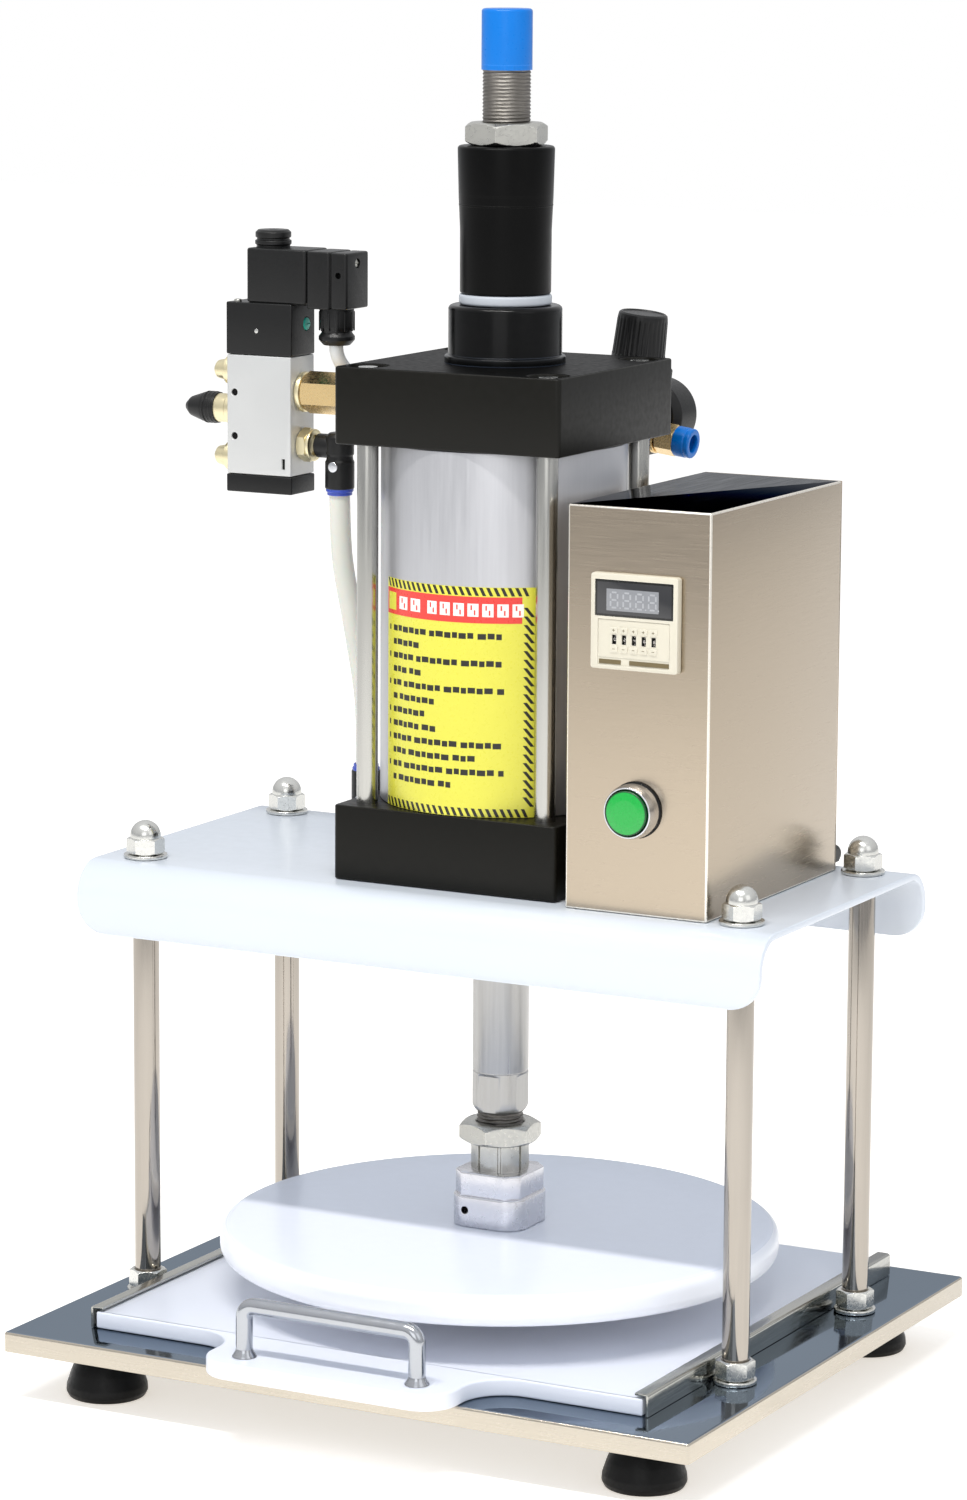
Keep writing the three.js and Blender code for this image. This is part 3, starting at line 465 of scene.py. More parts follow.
def surface(
    name, color, metallic, rough, vary, blotch, grain, fine, bump, rough_vary,
    wear_and_sheen=None, edge_radius=0.0007, streak=0.0, coat=0.0, **sockets,
):
    """A procedural finish: drifting tone, directional grain in gloss and relief, and an edge colour on convex
    edges, scuffed on most finishes and a painted highlight on the boss.
    """
    material = bpy.data.materials.new(name)
    material.use_nodes = True
    tree = material.node_tree
    link = tree.links.new
    shader = tree.nodes["Principled BSDF"]
    base = linear(color)
    shader.inputs["Metallic"].default_value = metallic
    if coat:
        shader.inputs["Coat Weight"].default_value = coat
        shader.inputs["Coat Roughness"].default_value = 0.12
    for socket, value in sockets.items():
        shader.inputs[socket.replace("_", " ")].default_value = value

    place = node(tree, "TexCoord")
    stretch = node(tree, "Mapping", {"Scale": grain})
    link(place.outputs["Object"], stretch.inputs["Vector"])
    speckle = node(tree, "TexNoise", {"Scale": fine, "Detail": 4.0})
    link(stretch.outputs["Vector"], speckle.inputs["Vector"])
    drift = node(tree, "TexNoise", {"Scale": blotch, "Detail": 3.0})
    link(place.outputs["Object"], drift.inputs["Vector"])

    tone = node(tree, "Mix", {6: shade(base, 1 - vary), 7: shade(base, 1 + vary)}, data_type="RGBA")
    link(drift.outputs["Fac"], tone.inputs[0])
    last = tone.outputs[2]
    if streak:
        lines = node(tree, "Mix", {0: streak}, data_type="RGBA", blend_type="MULTIPLY")
        link(last, lines.inputs[6])
        link(spread(tree, speckle.outputs["Fac"], 0.55, 1.0), lines.inputs[7])
        last = lines.outputs[2]
    gloss = spread(tree, speckle.outputs["Fac"], max(0.02, rough - rough_vary), min(1.0, rough + rough_vary))
    link(gloss, shader.inputs["Roughness"])
    if wear_and_sheen:
        last = edge_wear_and_sheen(tree, last, drift.outputs["Fac"], wear_and_sheen, edge_radius)
    link(last, shader.inputs["Base Color"])
    relief = node(tree, "Bump", {"Strength": bump, "Distance": 0.0002})
    link(speckle.outputs["Fac"], relief.inputs["Height"])
    link(relief.outputs["Normal"], shader.inputs["Normal"])
    FINISHES[name] = material


ALONG_Y = (1.0, 0.03, 1.0)
ALONG_Z = (1.0, 1.0, 0.03)
AROUND = (0.2, 0.2, 1.0)
EVEN = (1.0, 1.0, 1.0)

# The tray's top is a darker, bluer copy of the tray's metal: a painted dark reflection.
surface("tray_top_painted_reflection", "8B949F", 1, 0.07, 0.10, 9, ALONG_Y, 700, 0.02, 0.04, Specular_Tint=(0.6, 0.65, 0.7, 1))
surface("tray_edge", "C4BCAE", 1, 0.24, 0.06, 14, (0.05, 0.05, 1), 800, 0.10, 0.08, streak=0.25)
surface("rail", "B4B4AE", 1, 0.17, 0.12, 12, ALONG_Y, 900, 0.08, 0.08, wear_and_sheen="E6E6E2", streak=0.3)
surface("box", "B2A593", 1, 0.25, 0.03, 6, (0.04, 0.04, 1), 1200, 0.015, 0.03, streak=0.05)
# A pale copy of the box's metal on its rounded edges: a painted highlight along the edges.
surface("box_edge_painted_highlight", "EFE9DE", 1, 0.30, 0.05, 40, EVEN, 900, 0.05, 0.05)
# A dark, blue-grey copy of the box's metal on its top: a painted dark reflection.
surface("box_top_painted_reflection", "4E535C", 1, 0.09, 0.30, 9, ALONG_Y, 700, 0.02, 0.04, Specular_Tint=(0.14, 0.15, 0.17, 1))
surface("panel", "AC9F8F", 1, 0.24, 0.04, 7, (0.04, 0.04, 1), 1500, 0.05, 0.05, streak=0.10)
surface("rubber", "090909", 0, 0.42, 0.3, 60, EVEN, 500, 0.2, 0.10, wear_and_sheen="262626", Specular_IOR_Level=0.2)
surface("plastic_white", "EEF0F8", 0, 0.32, 0.01, 8, EVEN, 120, 0.012, 0.02)
surface("disc_side", "F8F9FF", 0, 0.30, 0.01, 8, EVEN, 120, 0.01, 0.02)
# The disc's top is a slightly darker, bluer copy of its white side: painted shade.
surface("disc_top_painted_shade", "F0F3FD", 0, 0.22, 0.01, 6, EVEN, 120, 0.01, 0.02)
surface("paint_white", "DADFE6", 0, 0.24, 0.015, 7, EVEN, 150, 0.012, 0.015)
surface("chrome", "ABA49B", 1, 0.12, 0.05, 18, ALONG_Z, 700, 0.04, 0.05, streak=0.12)
surface("handle", "B2B5BA", 1, 0.18, 0.05, 25, (0.3, 1, 1), 400, 0.04, 0.06, streak=0.1)
surface("rod", "B0AFAD", 1, 0.33, 0.04, 15, ALONG_Z, 500, 0.06, 0.06, streak=0.3)
surface("tie_rod", "B8B7B2", 1, 0.22, 0.05, 15, ALONG_Z, 500, 0.08, 0.06, streak=0.25)
surface("zinc", "BCBBB5", 1, 0.34, 0.10, 45, EVEN, 600, 0.15, 0.10, wear_and_sheen="EEEDE6")
surface("nut", "D2D2CE", 1, 0.22, 0.08, 45, EVEN, 600, 0.08, 0.08, wear_and_sheen="F4F4F0")
surface("hub", "D6D6DB", 1, 0.26, 0.03, 40, EVEN, 160, 0.02, 0.04, wear_and_sheen="FFFFFF")
surface("thread", "6E6B67", 1, 0.50, 0.25, 70, AROUND, 800, 0.2, 0.12, wear_and_sheen="D9D4CC", edge_radius=0.0003)
# A darker copy of the black paint for the upper cap's top faces: painted shade.
surface("cap_top_painted_shade", "060606", 0, 0.45, 0.15, 18, EVEN, 300, 0.03, 0.05, Specular_IOR_Level=0.06)
surface("paint_black", "12110D", 0, 0.36, 0.15, 18, EVEN, 300, 0.05, 0.06, wear_and_sheen="4A4740", edge_radius=0.0009,
        Specular_IOR_Level=0.18)
# The boss's slate-blue edge colour is a painted highlight on its top chamfer.
surface("boss", "050505", 0, 0.20, 0.15, 18, EVEN, 200, 0.015, 0.03, wear_and_sheen="465060", edge_radius=0.0012,
        Specular_IOR_Level=0.2)
surface("tube", "C6C6C9", 0.75, 0.38, 0.03, 8, ALONG_Z, 700, 0.08, 0.06, streak=0.12)
surface("ring", "B9BDC2", 0, 0.45, 0.06, 50, EVEN, 500, 0.15, 0.08)
surface("sleeve", "050505", 0, 0.32, 0.25, 22, EVEN, 200, 0.01, 0.03, wear_and_sheen="242422", Specular_IOR_Level=0.1)
surface("plastic_black", "131313", 0, 0.36, 0.20, 50, EVEN, 900, 0.22, 0.08, wear_and_sheen="3A3A3A",
        Specular_IOR_Level=0.3)
surface("blue", "0070C8", 0, 0.33, 0.05, 40, EVEN, 500, 0.08, 0.07, wear_and_sheen="58A6FF", Specular_IOR_Level=0.3)
surface("release", "2F48B0", 0, 0.35, 0.10, 60, EVEN, 500, 0.12, 0.07, wear_and_sheen="7A8ED8")
surface("ivory", "D6CFBC", 0, 0.40, 0.04, 60, EVEN, 900, 0.15, 0.07, wear_and_sheen="F6F2E6")
surface("brown_print", "6B5D3C", 0, 0.50, 0.15, 120, EVEN, 900, 0.1, 0.06)
surface("window", "2C2C2E", 0, 0.12, 0.10, 30, EVEN, 600, 0.03, 0.03, coat=0.4)
surface("window_edge", "151513", 0, 0.25, 0.10, 60, EVEN, 600, 0.05, 0.05)
surface("glass_grey", "8A8B8E", 0, 0.22, 0.05, 80, EVEN, 600, 0.05, 0.05, coat=0.3)
surface("segments", "A6A7AA", 0, 0.25, 0.03, 80, EVEN, 600, 0.05, 0.05, coat=0.4)
surface("green", "00A83C", 0, 0.28, 0.06, 70, EVEN, 400, 0.04, 0.05, wear_and_sheen="35D873", coat=0.4)
surface("green_rim", "03471E", 0, 0.30, 0.08, 70, EVEN, 400, 0.05, 0.05)
surface("teal", "1FB09C", 0, 0.35, 0.06, 80, EVEN, 600, 0.15, 0.06)
surface("brass", "DCC08C", 1, 0.27, 0.06, 60, EVEN, 600, 0.06, 0.06, wear_and_sheen="F2DFB4")
surface("brass_pale", "E4D9B4", 1, 0.36, 0.06, 60, EVEN, 600, 0.12, 0.08, wear_and_sheen="FBF5DE")
surface("valve", "CACAC8", 0.35, 0.36, 0.03, 30, EVEN, 900, 0.2, 0.07, wear_and_sheen="F2F2F0")
surface("air", "DCDBD0", 0, 0.22, 0.04, 30, ALONG_Z, 400, 0.06, 0.05,
        Subsurface_Weight=0.25, Subsurface_Scale=0.004)
surface("cable", "EFEFEC", 0, 0.42, 0.03, 40, EVEN, 600, 0.15, 0.06)
surface("label", "DDD744", 0, 0.30, 0.03, 22, EVEN, 500, 0.04, 0.05, coat=0.3)
surface("label_red", "E2372C", 0, 0.30, 0.05, 22, EVEN, 500, 0.04, 0.05, coat=0.3)
surface("label_ink", "1C1A12", 0, 0.35, 0.15, 60, EVEN, 500, 0.04, 0.05)
surface("label_pale", "F7EFE6", 0, 0.30, 0.02, 60, EVEN, 500, 0.04, 0.05, coat=0.3)
# Near-black: the hub's black set screw, and painted shade in holes, slots and the gaps between parts.
surface("painted_shade_and_black", "060606", 0, 0.60, 0.2, 80, EVEN, 600, 0.2, 0.1, Specular_IOR_Level=0.2)
surface("dial", "F2F2EE", 0, 0.35, 0.02, 60, EVEN, 600, 0.05, 0.05, coat=0.5)
surface("dial_ink", "17171A", 0, 0.40, 0.10, 60, EVEN, 600, 0.05, 0.05)
surface("rim_steel", "D2D4D8", 1, 0.20, 0.05, 60, EVEN, 300, 0.02, 0.05)

TRAY_TOP = 40.0
FRONT_BACK = (("front", -1), ("back", 1))
LEFT_RIGHT = (("left", -1), ("right", 1))
CORNERS = [(f"{end}_{side}", sx, sy) for end, sy in FRONT_BACK for side, sx in LEFT_RIGHT]


# ---------- base: tray, feet and rails ----------
def tray_shell():
    width, depth, low, sheet = 429, 371, TRAY_TOP - 11.7, 1.5
    outline = rect(width, depth, 1.8)
    inner = inset(outline, sheet)
    rings = [[(x, y, TRAY_TOP - sheet) for x, y in inner], [(x, y, low + 0.3) for x, y in inner]]
    rings.append([(x, y, low) for x, y in inset(outline, sheet - 0.3)])
    rings.append([(x, y, low) for x, y in inset(outline, 0.3)])
    rings.append([(x, y, low + 0.3) for x, y in outline])
    for margin, drop in quarter(1.7, 5):
        rings.append([(x, y, TRAY_TOP - drop) for x, y in inset(outline, margin)])
    return loft(rings)


# Top faces take the painted dark reflection; the other faces take the tray's own metal.
def tray_finish(centre, normal):
    return "tray_top_painted_reflection" if abs(normal.z) > 0.75 else "tray_edge"


piece("tray_sheet", "frame", [(tray_shell(), tray_finish)], ["base_tray"])

foot_profile = [(1.0, 10), (10, 10, 0.6), (10, 0, 0.6), (21.6, 0, 1.6), (23.2, 3.2, 1.5), (22.9, 7.0, 3.0)]
foot_profile += [(20.4, 14.5, 9), (16.4, 24, 9), (15.2, 30, 4), (14.5, 38.1, 0.6), (1.0, 38.1)]
foot = lathe(soften(foot_profile, 1.0, 6, False), 72)
foot_screw = hexnut(8, 3.2, 9.7, 0, chamfer_top=False)
for name, sx, sy in CORNERS:
    shapes = [(foot, "rubber"), (foot_screw, "zinc")]
    piece(f"rubber_{name}", "frame", shapes, [f"foot_{name}"], (170 * sx, 147 * sy))


def rail_section(sign):
    outer, top, sheet = 175.5, TRAY_TOP + 13, 1.5
    points = [(outer - sheet, 40.3, 0.2), (outer, 40.3, 0.2), (outer, top, 1.9), (outer - 8, top, 0.3)]
    points += [(outer - 8, top - sheet, 0.3), (outer - sheet, top - sheet, 0.5)]
    eased = soften(points, 0.3, 5)
    return [(x * sign, z) for x, z in (eased if sign > 0 else reversed(eased))]


for side, sign in LEFT_RIGHT:
    section = prism(rail_section(sign), -155, 167, 0.25, 2)
    rail = ([(x, z, y) for x, y, z in section[0]], section[1])
    piece(f"rail_{side}", "frame", [(rail, "rail")], [f"{side}_guide_rail"])


# ---------- pull-out board and handle ----------
BOARD_LOW, BOARD_TOP = 40.3, 50.0
board_points = [(-172, -155, 0.8), (-77, -155, 25), (-77, -207, 20), (77, -207, 20), (77, -155, 25)]
board_points += [(172, -155, 0.8), (172, 165, 2.0), (-172, 165, 2.0)]
board = prism(soften(board_points, 2, 12), BOARD_LOW, BOARD_TOP, 1.3, 4)
piece("board_slab", "board", [(board, "plastic_white")], ["sliding_board"])


HANDLE_HALF = 54


def bent_bar():
    half, crown, foot = HANDLE_HALF, 79.3, BOARD_TOP + 0.3
    corners = [(-half, foot), (-half, crown, 13), (half, crown, 13), (half, foot)]
    line = []
    for a, b in zip(corners, corners[1:]):
        line.append(a)
        if a[0] == b[0]:
            line.append(((a[0] + b[0]) / 2, (a[1] + b[1]) / 2, 0))
    line.append(corners[-1])
    return sweep([(x, 0, z) for x, z in soften(line, 0, 14, False)], 4.7, 32)


collar = lathe([(4.75, 54.6), (5.3, 52.8), (6.7, 50.9), (6.9, 50.3), (4.0, 50.3)], 48)
screw_head = [(1.9, 38.6), (1.9, 36.3, 0.1), (4.0, 36.3, 0.8), (4.0, 40.0, 0.1), (0.5, 40.0)]
under = lathe(soften(screw_head, 0.3, 3, False), 32)
through = lathe([(2.5, 39.5), (2.5, 51.5)], 24)
handle_shapes = [(bent_bar(), "handle")]
for sign in (-1, 1):
    for solid, finish in ((collar, "handle"), (under, "sleeve"), (through, "zinc")):
        handle_shapes.append((move(solid, (HANDLE_HALF * sign, 0, 0)), finish))
piece("bar_handle", "board", handle_shapes, ["board_handle"], (0, -190))

# ---------- columns and dome nuts ----------
shaft = plain_disc(0.5, 7.5, 42.4, 291.7, ease=0.5)
foot_washer = plain_ring(7, 12, 40.3, 42.5, ease=0.45)
foot_nut = hexnut(19, 42.6, 53.3, 7.45)
stud = screw_thread(5.7, 0.55, 1.75, 30, 41, 32)
studs_top = lathe([(5.6, 291), (5.6, 305)], 24)
dome_washer = plain_ring(6.2, 12.5, 296.3, 298.3)
dome_hex = hexnut(19, 298.4, 307.8, 6.2)
dome_curve = [(6.3, 304.5), (8.8, 304.5), (8.8, 308.8)]
for a in [k * math.pi / 24 for k in range(1, 12)]:
    dome_curve.append((8.8 * math.cos(a), 308.8 + 8.8 * math.sin(a)))
dome_curve += [(0.35, 317.57)]
dome = lathe(dome_curve, 56)
pillar = [(shaft, "chrome"), (foot_washer, "nut"), (foot_nut, "nut"), (stud, "thread"), (studs_top, "thread")]
acorn = made_of("nut", dome_washer, dome_hex, dome)
for name, sx, sy in CORNERS:
    place = (188.3 * sx, -73.1 if sy < 0 else 87.3)
    piece(f"pillar_{name}", "frame", pillar, [f"column_{name}"], place)
    piece(f"acorn_{name}", "frame", acorn, [f"dome_nut_{name}"], place)


# ---------- table: one sheet bent down in front and behind ----------
def table_sheet():
    front, back, top, foot, sheet, bend, corner, half = -106, 118, 296, 256, 4.0, 20, 18, 214.5
    path = [(front, foot + corner * (1 - math.cos(k * math.pi / 20))) for k in range(11)]
    for k in range(13):
        a = math.pi / 2 * k / 12
        path.append((front + bend - bend * math.cos(a), top - bend + bend * math.sin(a)))
    path += [(front + bend + (back - front - 2 * bend) * k / 8, top) for k in range(1, 8)]
    for k in range(13):
        a = math.pi / 2 * k / 12
        path.append((back - bend + bend * math.sin(a), top - bend + bend * math.cos(a)))
    path += [(back, foot + corner * (1 - math.cos(k * math.pi / 20))) for k in range(10, -1, -1)]
    rings = []
    for k, (y, z) in enumerate(path):
        before, after = path[max(k - 1, 0)], path[min(k + 1, len(path) - 1)]
        tangent = (Vector(after) - Vector(before)).normalized()
        inward = Vector((tangent.y, -tangent.x))
        drop = max(0.0, foot + corner - z)
        reach = half - corner + math.sqrt(max(0.0, corner**2 - drop**2))
        ring = []
        for x, n in rect(2 * reach, sheet, 1.1, 4):
            depth = sheet / 2 - n
            ring.append((x, y + inward.x * depth, z + inward.y * depth))
        rings.append(ring)
    return loft(rings)


piece("table_sheet", "frame", [(table_sheet(), "paint_white")], ["table_plate"])

# ---------- cylinder ----------
CYL = (AXIS_X, AXIS_Y)
CAP_FOOT, CAP_LOW_TOP, CAP_HIGH_FOOT, CAP_TOP = 296.3, 338.5, 541.0, 584.0
TIES = [(name, 56 * sx, 56 * sy) for name, sx, sy in CORNERS]

lower_cap = prism(rect(140, 140, 3.0, 6), CAP_FOOT, CAP_LOW_TOP, 1.1, 4)
bearing = turned([(16.4, 286.3), (24, 286.3, 1.5), (24, 297), (16.4, 297)], 72, 0.6, True)
wiper = turned([(16.05, 284.9), (19.5, 284.9, 0.9), (20.5, 287), (16.05, 287)], 64, 0.4, True)
shapes = made_of("paint_black", lower_cap, bearing) + [(wiper, "rubber")]
piece("lower_head", "frame", shapes, ["bottom_cap"], CYL)

pockets = [(x, y, 11.5, 9.0) for _, x, y in TIES]
upper_cap = pocketed(rect(140, 140, 3.0, 6), CAP_HIGH_FOOT, CAP_TOP, 1.1, pockets, 0.8)
boss_points = [(16.3, 583.5, 0.2), (33.8, 583.5, 0.2), (33.8, 588, 1.0), (31.8, 588.6, 0.5)]
boss_points += [(31.8, 616.2, 2.6), (16.3, 616.2, 0.8)]
boss = soften(boss_points, 0.4, 6)


# Upward faces take the painted shade; the rest take the black paint.
def cap_finish(centre, normal):
    return "cap_top_painted_shade" if normal.z > 0.9 else "paint_black"


shapes = [(upper_cap, cap_finish), (lathe(boss, 96, True), "boss")]
piece("upper_head", "frame", shapes, ["top_cap"], CYL)

barrel = plain_ring(62.5, 69, 338.8, 540.7, 144, 0.5)
piece("barrel", "frame", [(barrel, "tube")], ["cylinder_tube"], CYL)

tie_bar = plain_disc(0.5, 6, 297.5, 576, 40, 0.6)
tie_nut = hexnut(17, 575.2, 582.0, 5.6)
tie_end = screw_thread(5.9, 0.5, 1.5, 575.5, 583.4, 32)
tie = [(tie_bar, "tie_rod"), (tie_nut, "nut"), (tie_end, "nut")]
for name, x, y in TIES:
    piece(f"tie_{name}", "frame", tie, [f"tie_rod_{name}"], (AXIS_X + x, AXIS_Y + y))

cushion = turned([(16.35, 616.5), (25.9, 616.5, 1.4), (25.9, 622.3, 1.6), (16.35, 622.3)], 80, 0.6, True, 5)
piece("stop_cushion", "frame", [(cushion, "ring")], ["bumper_ring"], CYL)


# ---------- label: a printed sheet round the barrel, with plain bars in place of words ----------
def patch(angle_low, angle_high, z_low, z_high, layer, shear=0.0):
    """A curved rectangle on the barrel; angles are degrees from the front, and shear slides its top edge."""
    radius = 69.12 + 0.05 * layer
    steps = max(1, int(abs(angle_high - angle_low) / 2))
    verts, faces = [], []
    for r in (radius, radius - 0.04):
        for z, slide in ((z_low, 0.0), (z_high, shear)):
            for k in range(steps + 1):
                a = math.radians(angle_low + (angle_high - angle_low) * k / steps + slide)
                verts.append((r * math.sin(a), -r * math.cos(a), z))
    row = steps + 1
    for k in range(steps):
        faces.append((k, k + 1, row + k + 1, row + k))
        faces.append((2 * row + k, 3 * row + k, 3 * row + k + 1, 2 * row + k + 1))
        faces.append((k, 2 * row + k, 2 * row + k + 1, k + 1))
        faces.append((row + k, row + k + 1, 3 * row + k + 1, 3 * row + k))
    faces.append((0, row, 3 * row, 2 * row))
    faces.append((steps, 2 * row + steps, 3 * row + steps, row + steps))
    return verts, faces


LABEL = {"left": -40.0, "right": 42.8, "low": 338.9, "high": 467.0, "edge": 5.0, "edge_angle": 6.4}


def label_shapes():
    left, right, low, high = (LABEL[k] for k in ("left", "right", "low", "high"))
    made = [(patch(left, right, low, high, 0), "label")]
    made.append((patch(left + 0.2, right - LABEL["edge_angle"], 447.0, 461.6, 1), "label_red"))
    made.append((patch(left + 1.6, left + 8.6, 449.4, 459.2, 2), "label"))
    for start, wide in [(11.5, 6.2), (20.0, 6.2)] + [(30.5 + k * 6.9, 5.2) for k in range(7)]:
        made.append((patch(left + start, left + start + wide, 450.6, 457.8, 2), "label_pale"))
        for k in range(2):
            notch = left + start + wide * (0.28 + 0.3 * k)
            foot = 450.6 + (0.9 if k else 3.6)
            made.append((patch(notch, notch + wide * 0.14, foot, foot + 2.7, 3), "label_red"))
    step = 3.3
    for k in range(int((right - left - 2.5) / step)):
        for z in (low, high - LABEL["edge"]):
            a = left + 2.2 + k * step
            made.append((patch(a, a + 1.6, z + 0.2, z + LABEL["edge"] - 0.2, 1, -1.8), "label_ink"))
    for k in range(int((high - low - 13) / 4.8)):
        z = low + 6 + k * 4.8
        made.append((patch(right - 2.2, right - 0.4, z, z + 5.4, 1, -3.6), "label_ink"))
    for row, wide in enumerate((61, 20, 61, 18, 61, 27, 25, 28, 61, 48, 61, 36)):
        z = 438.0 - row * 7.6
        if row not in (1, 3, 5, 9, 11):
            made.append((patch(left + 2.4, left + 3.7, z, z + 3.0, 1), "label_ink"))
        drawn = 6.4
        glyph = 0
        while drawn < wide + 5:
            size = (3.5, 2.8, 3.9, 3.2, 2.5)[(glyph + row) % 5]
            foot = z + 0.3 * (glyph % 2)
            made.append((patch(left + drawn, left + drawn + size, foot, foot + 3.2, 1), "label_ink"))
            drawn += size + (2.0 if (glyph + row) % 6 == 5 else 0.75)
            glyph += 1
    return made


piece("barrel_label", "frame", label_shapes(), [], CYL, sharp=60)


# ---------- moving rod, nuts, hub and disc ----------
def flatted_rod():
    """The ground rod with four wrench flats above its chamfered foot, and a chamfer at its top end; the
    threaded necks at both ends are separate solids.
    """
    radius, half, foot, flats_top = 16.0, 14.0, 156.0, 180.0
    count = 144
    levels = [(foot, 12.8), (foot + 0.5, 13.3), (foot + 1.6, 14.4), (foot + 3.0, 15.4), (foot + 4.5, 16.0)]
    levels += [(foot + 10, 16.0), (flats_top - 1.6, 16.0), (flats_top - 0.5, 16.0)]

    def reach(a, z, limit):
        bent = (a + math.pi / 4) % (math.pi / 2) - math.pi / 4
        flat = half / math.cos(bent) + max(0.0, z - (flats_top - 1.6)) * 0.9
        return min(radius, limit, flat)

    upper = [(16.0, flats_top), (15.75, 180.3), (15.75, 180.9), (16.0, 181.3), (16.0, 400)]
    upper += [(16.0, 621.4), (15.4, 622)]
    return loft(shaped_rings(levels, count, reach) + round_rings(upper, count))


neck = screw_thread(13.4, 0.9, 2.0, 101.6, 156.4, 40, 5)
rear_thread = screw_thread(13.5, 0.7, 2.0, 621.6, 773.6, 40, 5)
shapes = [(flatted_rod(), "rod"), (neck, "thread"), (rear_thread, "thread")]
piece("ram_rod", "press", shapes, ["piston_rod"], CYL)
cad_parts["piston"].data.materials.clear()
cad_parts["piston"].data.materials.append(FINISHES["tube"])

ram_nut = hexnut(41, 138.9, 150.6, 13.7, turn=0.12)
piece("ram_nut", "press", [(ram_nut, "zinc")], ["rod_lock_nut"], CYL)


def slotted_collar():
    """A round collar with narrow spanner slots down its side."""
    count = 240
    slots = [math.radians(d) for d in (-64, -18, 26, 72, 118, 162, -108, -152)]
    levels = [(122.4, 16.3), (123.4, 16.3), (123.9, 16.6), (138.0, 16.6), (138.6, 16.0)]

    def reach(a, z, radius):
        near = min(abs((a - s + math.pi) % (2 * math.pi) - math.pi) for s in slots)
        return radius - (1.3 if near < 0.045 else 0.0)

    inside = round_rings(((14.4, 138.6), (13.9, 138.0), (13.9, 123), (14.4, 122.4)), count)
    return loft(shaped_rings(levels, count, reach) + inside, closed=True)


plate, cut = 21.0, 14.0
octagon = [(-cut, -plate), (cut, -plate), (plate, -cut), (plate, cut)]
octagon += [(-x, -y) for x, y in octagon]
hub_block = carve(
    prism(rect(45, 45, 12, 10), 91.6, 109.5, 1.2, 4, 0.4),
    to_front(lathe([(2.2, 10), (2.2, 30)], 32), (-11, 0, 101)),
    to_front(lathe([(2.0, 22.0), (3.1, 22.8)], 32), (-11, 0, 101)),
)
plate_solid = prism(soften(octagon, 0.8, 3), 109.0, 123.2, 1.1, 4, 0.1)
set_screw = to_front(lathe([(2.15, 10.2), (2.15, 17.4), (1.1, 17.4), (1.1, 15.5)], 24), (-11, 0, 101))
shapes = [(hub_block, "hub"), (plate_solid, "hub"), (slotted_collar(), "zinc"), (set_screw, "painted_shade_and_black")]
piece("ram_hub", "press", shapes, ["disc_hub"], CYL)


# The top face takes the painted shade; the rest takes the disc's own white.
def disc_finish(centre, normal):
    return "disc_top_painted_shade" if normal.z > 0.9 else "disc_side"


disc_profile = soften([(0.6, 73.2), (160, 73.2, 7), (160, 91.3, 6.5), (0.6, 91.3)], 7, 9, False)
disc_rows = [disc_profile[0], (60, 73.2), (120, 73.2), *disc_profile[1:-1]]
disc_rows += [(120, 91.3), (60, 91.3), disc_profile[-1]]
piece("press_plate", "press", [(lathe(disc_rows, 192), disc_finish)], ["press_disc"], CYL)

cover = soften([(13.75, 745.5, 0.1), (14.1, 745.5, 0.15), (14.1, 779, 1.7), (0.6, 779)], 0.2, 6, False)
shapes = made_of("blue", lathe(cover, 72), plain_ring(13.7, 14.1, 745.5, 748.3, 64, 0.15))
piece("thread_cover", "press", shapes, ["thread_cap"], CYL)

# ---------- stroke stop ----------
sleeve_points = [(13.9, 622.7, 0.6), (25.4, 622.7, 1.0), (25.5, 658, 30), (26.3, 676, 30), (27, 704, 1.8)]
sleeve_points += [(13.9, 704, 0.8)]
grip = [(lathe(soften(sleeve_points, 0.5, 5), 96, True), "sleeve")]
grip += made_of("sleeve", *[plain_ring(25.7, 26.25, z, z + 0.9, 96, 0.2) for z in (671.0, 676.5)])
piece("stop_barrel", "stop_sleeve", grip, ["stroke_sleeve"], CYL)
lock_nut = hexnut(41, 704.3, 716.8, 13.7, turn=0.22)
piece("stop_lock_nut", "stop_nut", [(lock_nut, "zinc")], ["stroke_lock_nut"], CYL)

# ---------- control box ----------
BOX = {"left": 86.2, "right": 171.8, "front": -82.8, "back": 87.5, "low": 296.3, "high": 518.3}


def box_finish(centre, normal):
    # Rounded edge faces take the painted highlight.
    if max(abs(normal.x), abs(normal.y), abs(normal.z)) < 0.995:
        return "box_edge_painted_highlight"
    # Top faces take the painted dark reflection; the other flat faces take the box's own metal.
    return "box_top_painted_reflection" if normal.z > 0.9 else "box"


case = block((BOX["left"], BOX["front"], BOX["low"]), (BOX["right"], 85.6, BOX["high"]), 1.1, 1.1, 4)
piece("box_case", "frame", [(case, box_finish)], ["control_box"])
back_low = (BOX["left"] + 0.2, 85.9, BOX["low"] + 0.1)
back = block(back_low, (BOX["right"] - 0.2, 87.3, BOX["high"] - 0.1), 1.0, 0.4, 2)
shapes = [(back, "panel")]
pan_head = turned([(0.4, 87.2), (3.1, 87.2, 0.1), (3.1, 88.6, 0.8), (0.4, 88.9)], 32, 0.5)
cross = [block((-x, -y, 88.2), (x, y, 89.2), 0.1, 0.05, 1) for x, y in ((2.0, 0.35), (0.35, 2.0))]
screw = carve(pan_head, *cross)
for x in (BOX["left"] + 7, BOX["right"] - 7):
    for z in (BOX["low"] + 22, BOX["high"] - 8):
        shapes.append((to_back(screw, (x, 0, z)), "nut"))
piece("box_back_sheet", "frame", shapes, ["box_back_panel"])

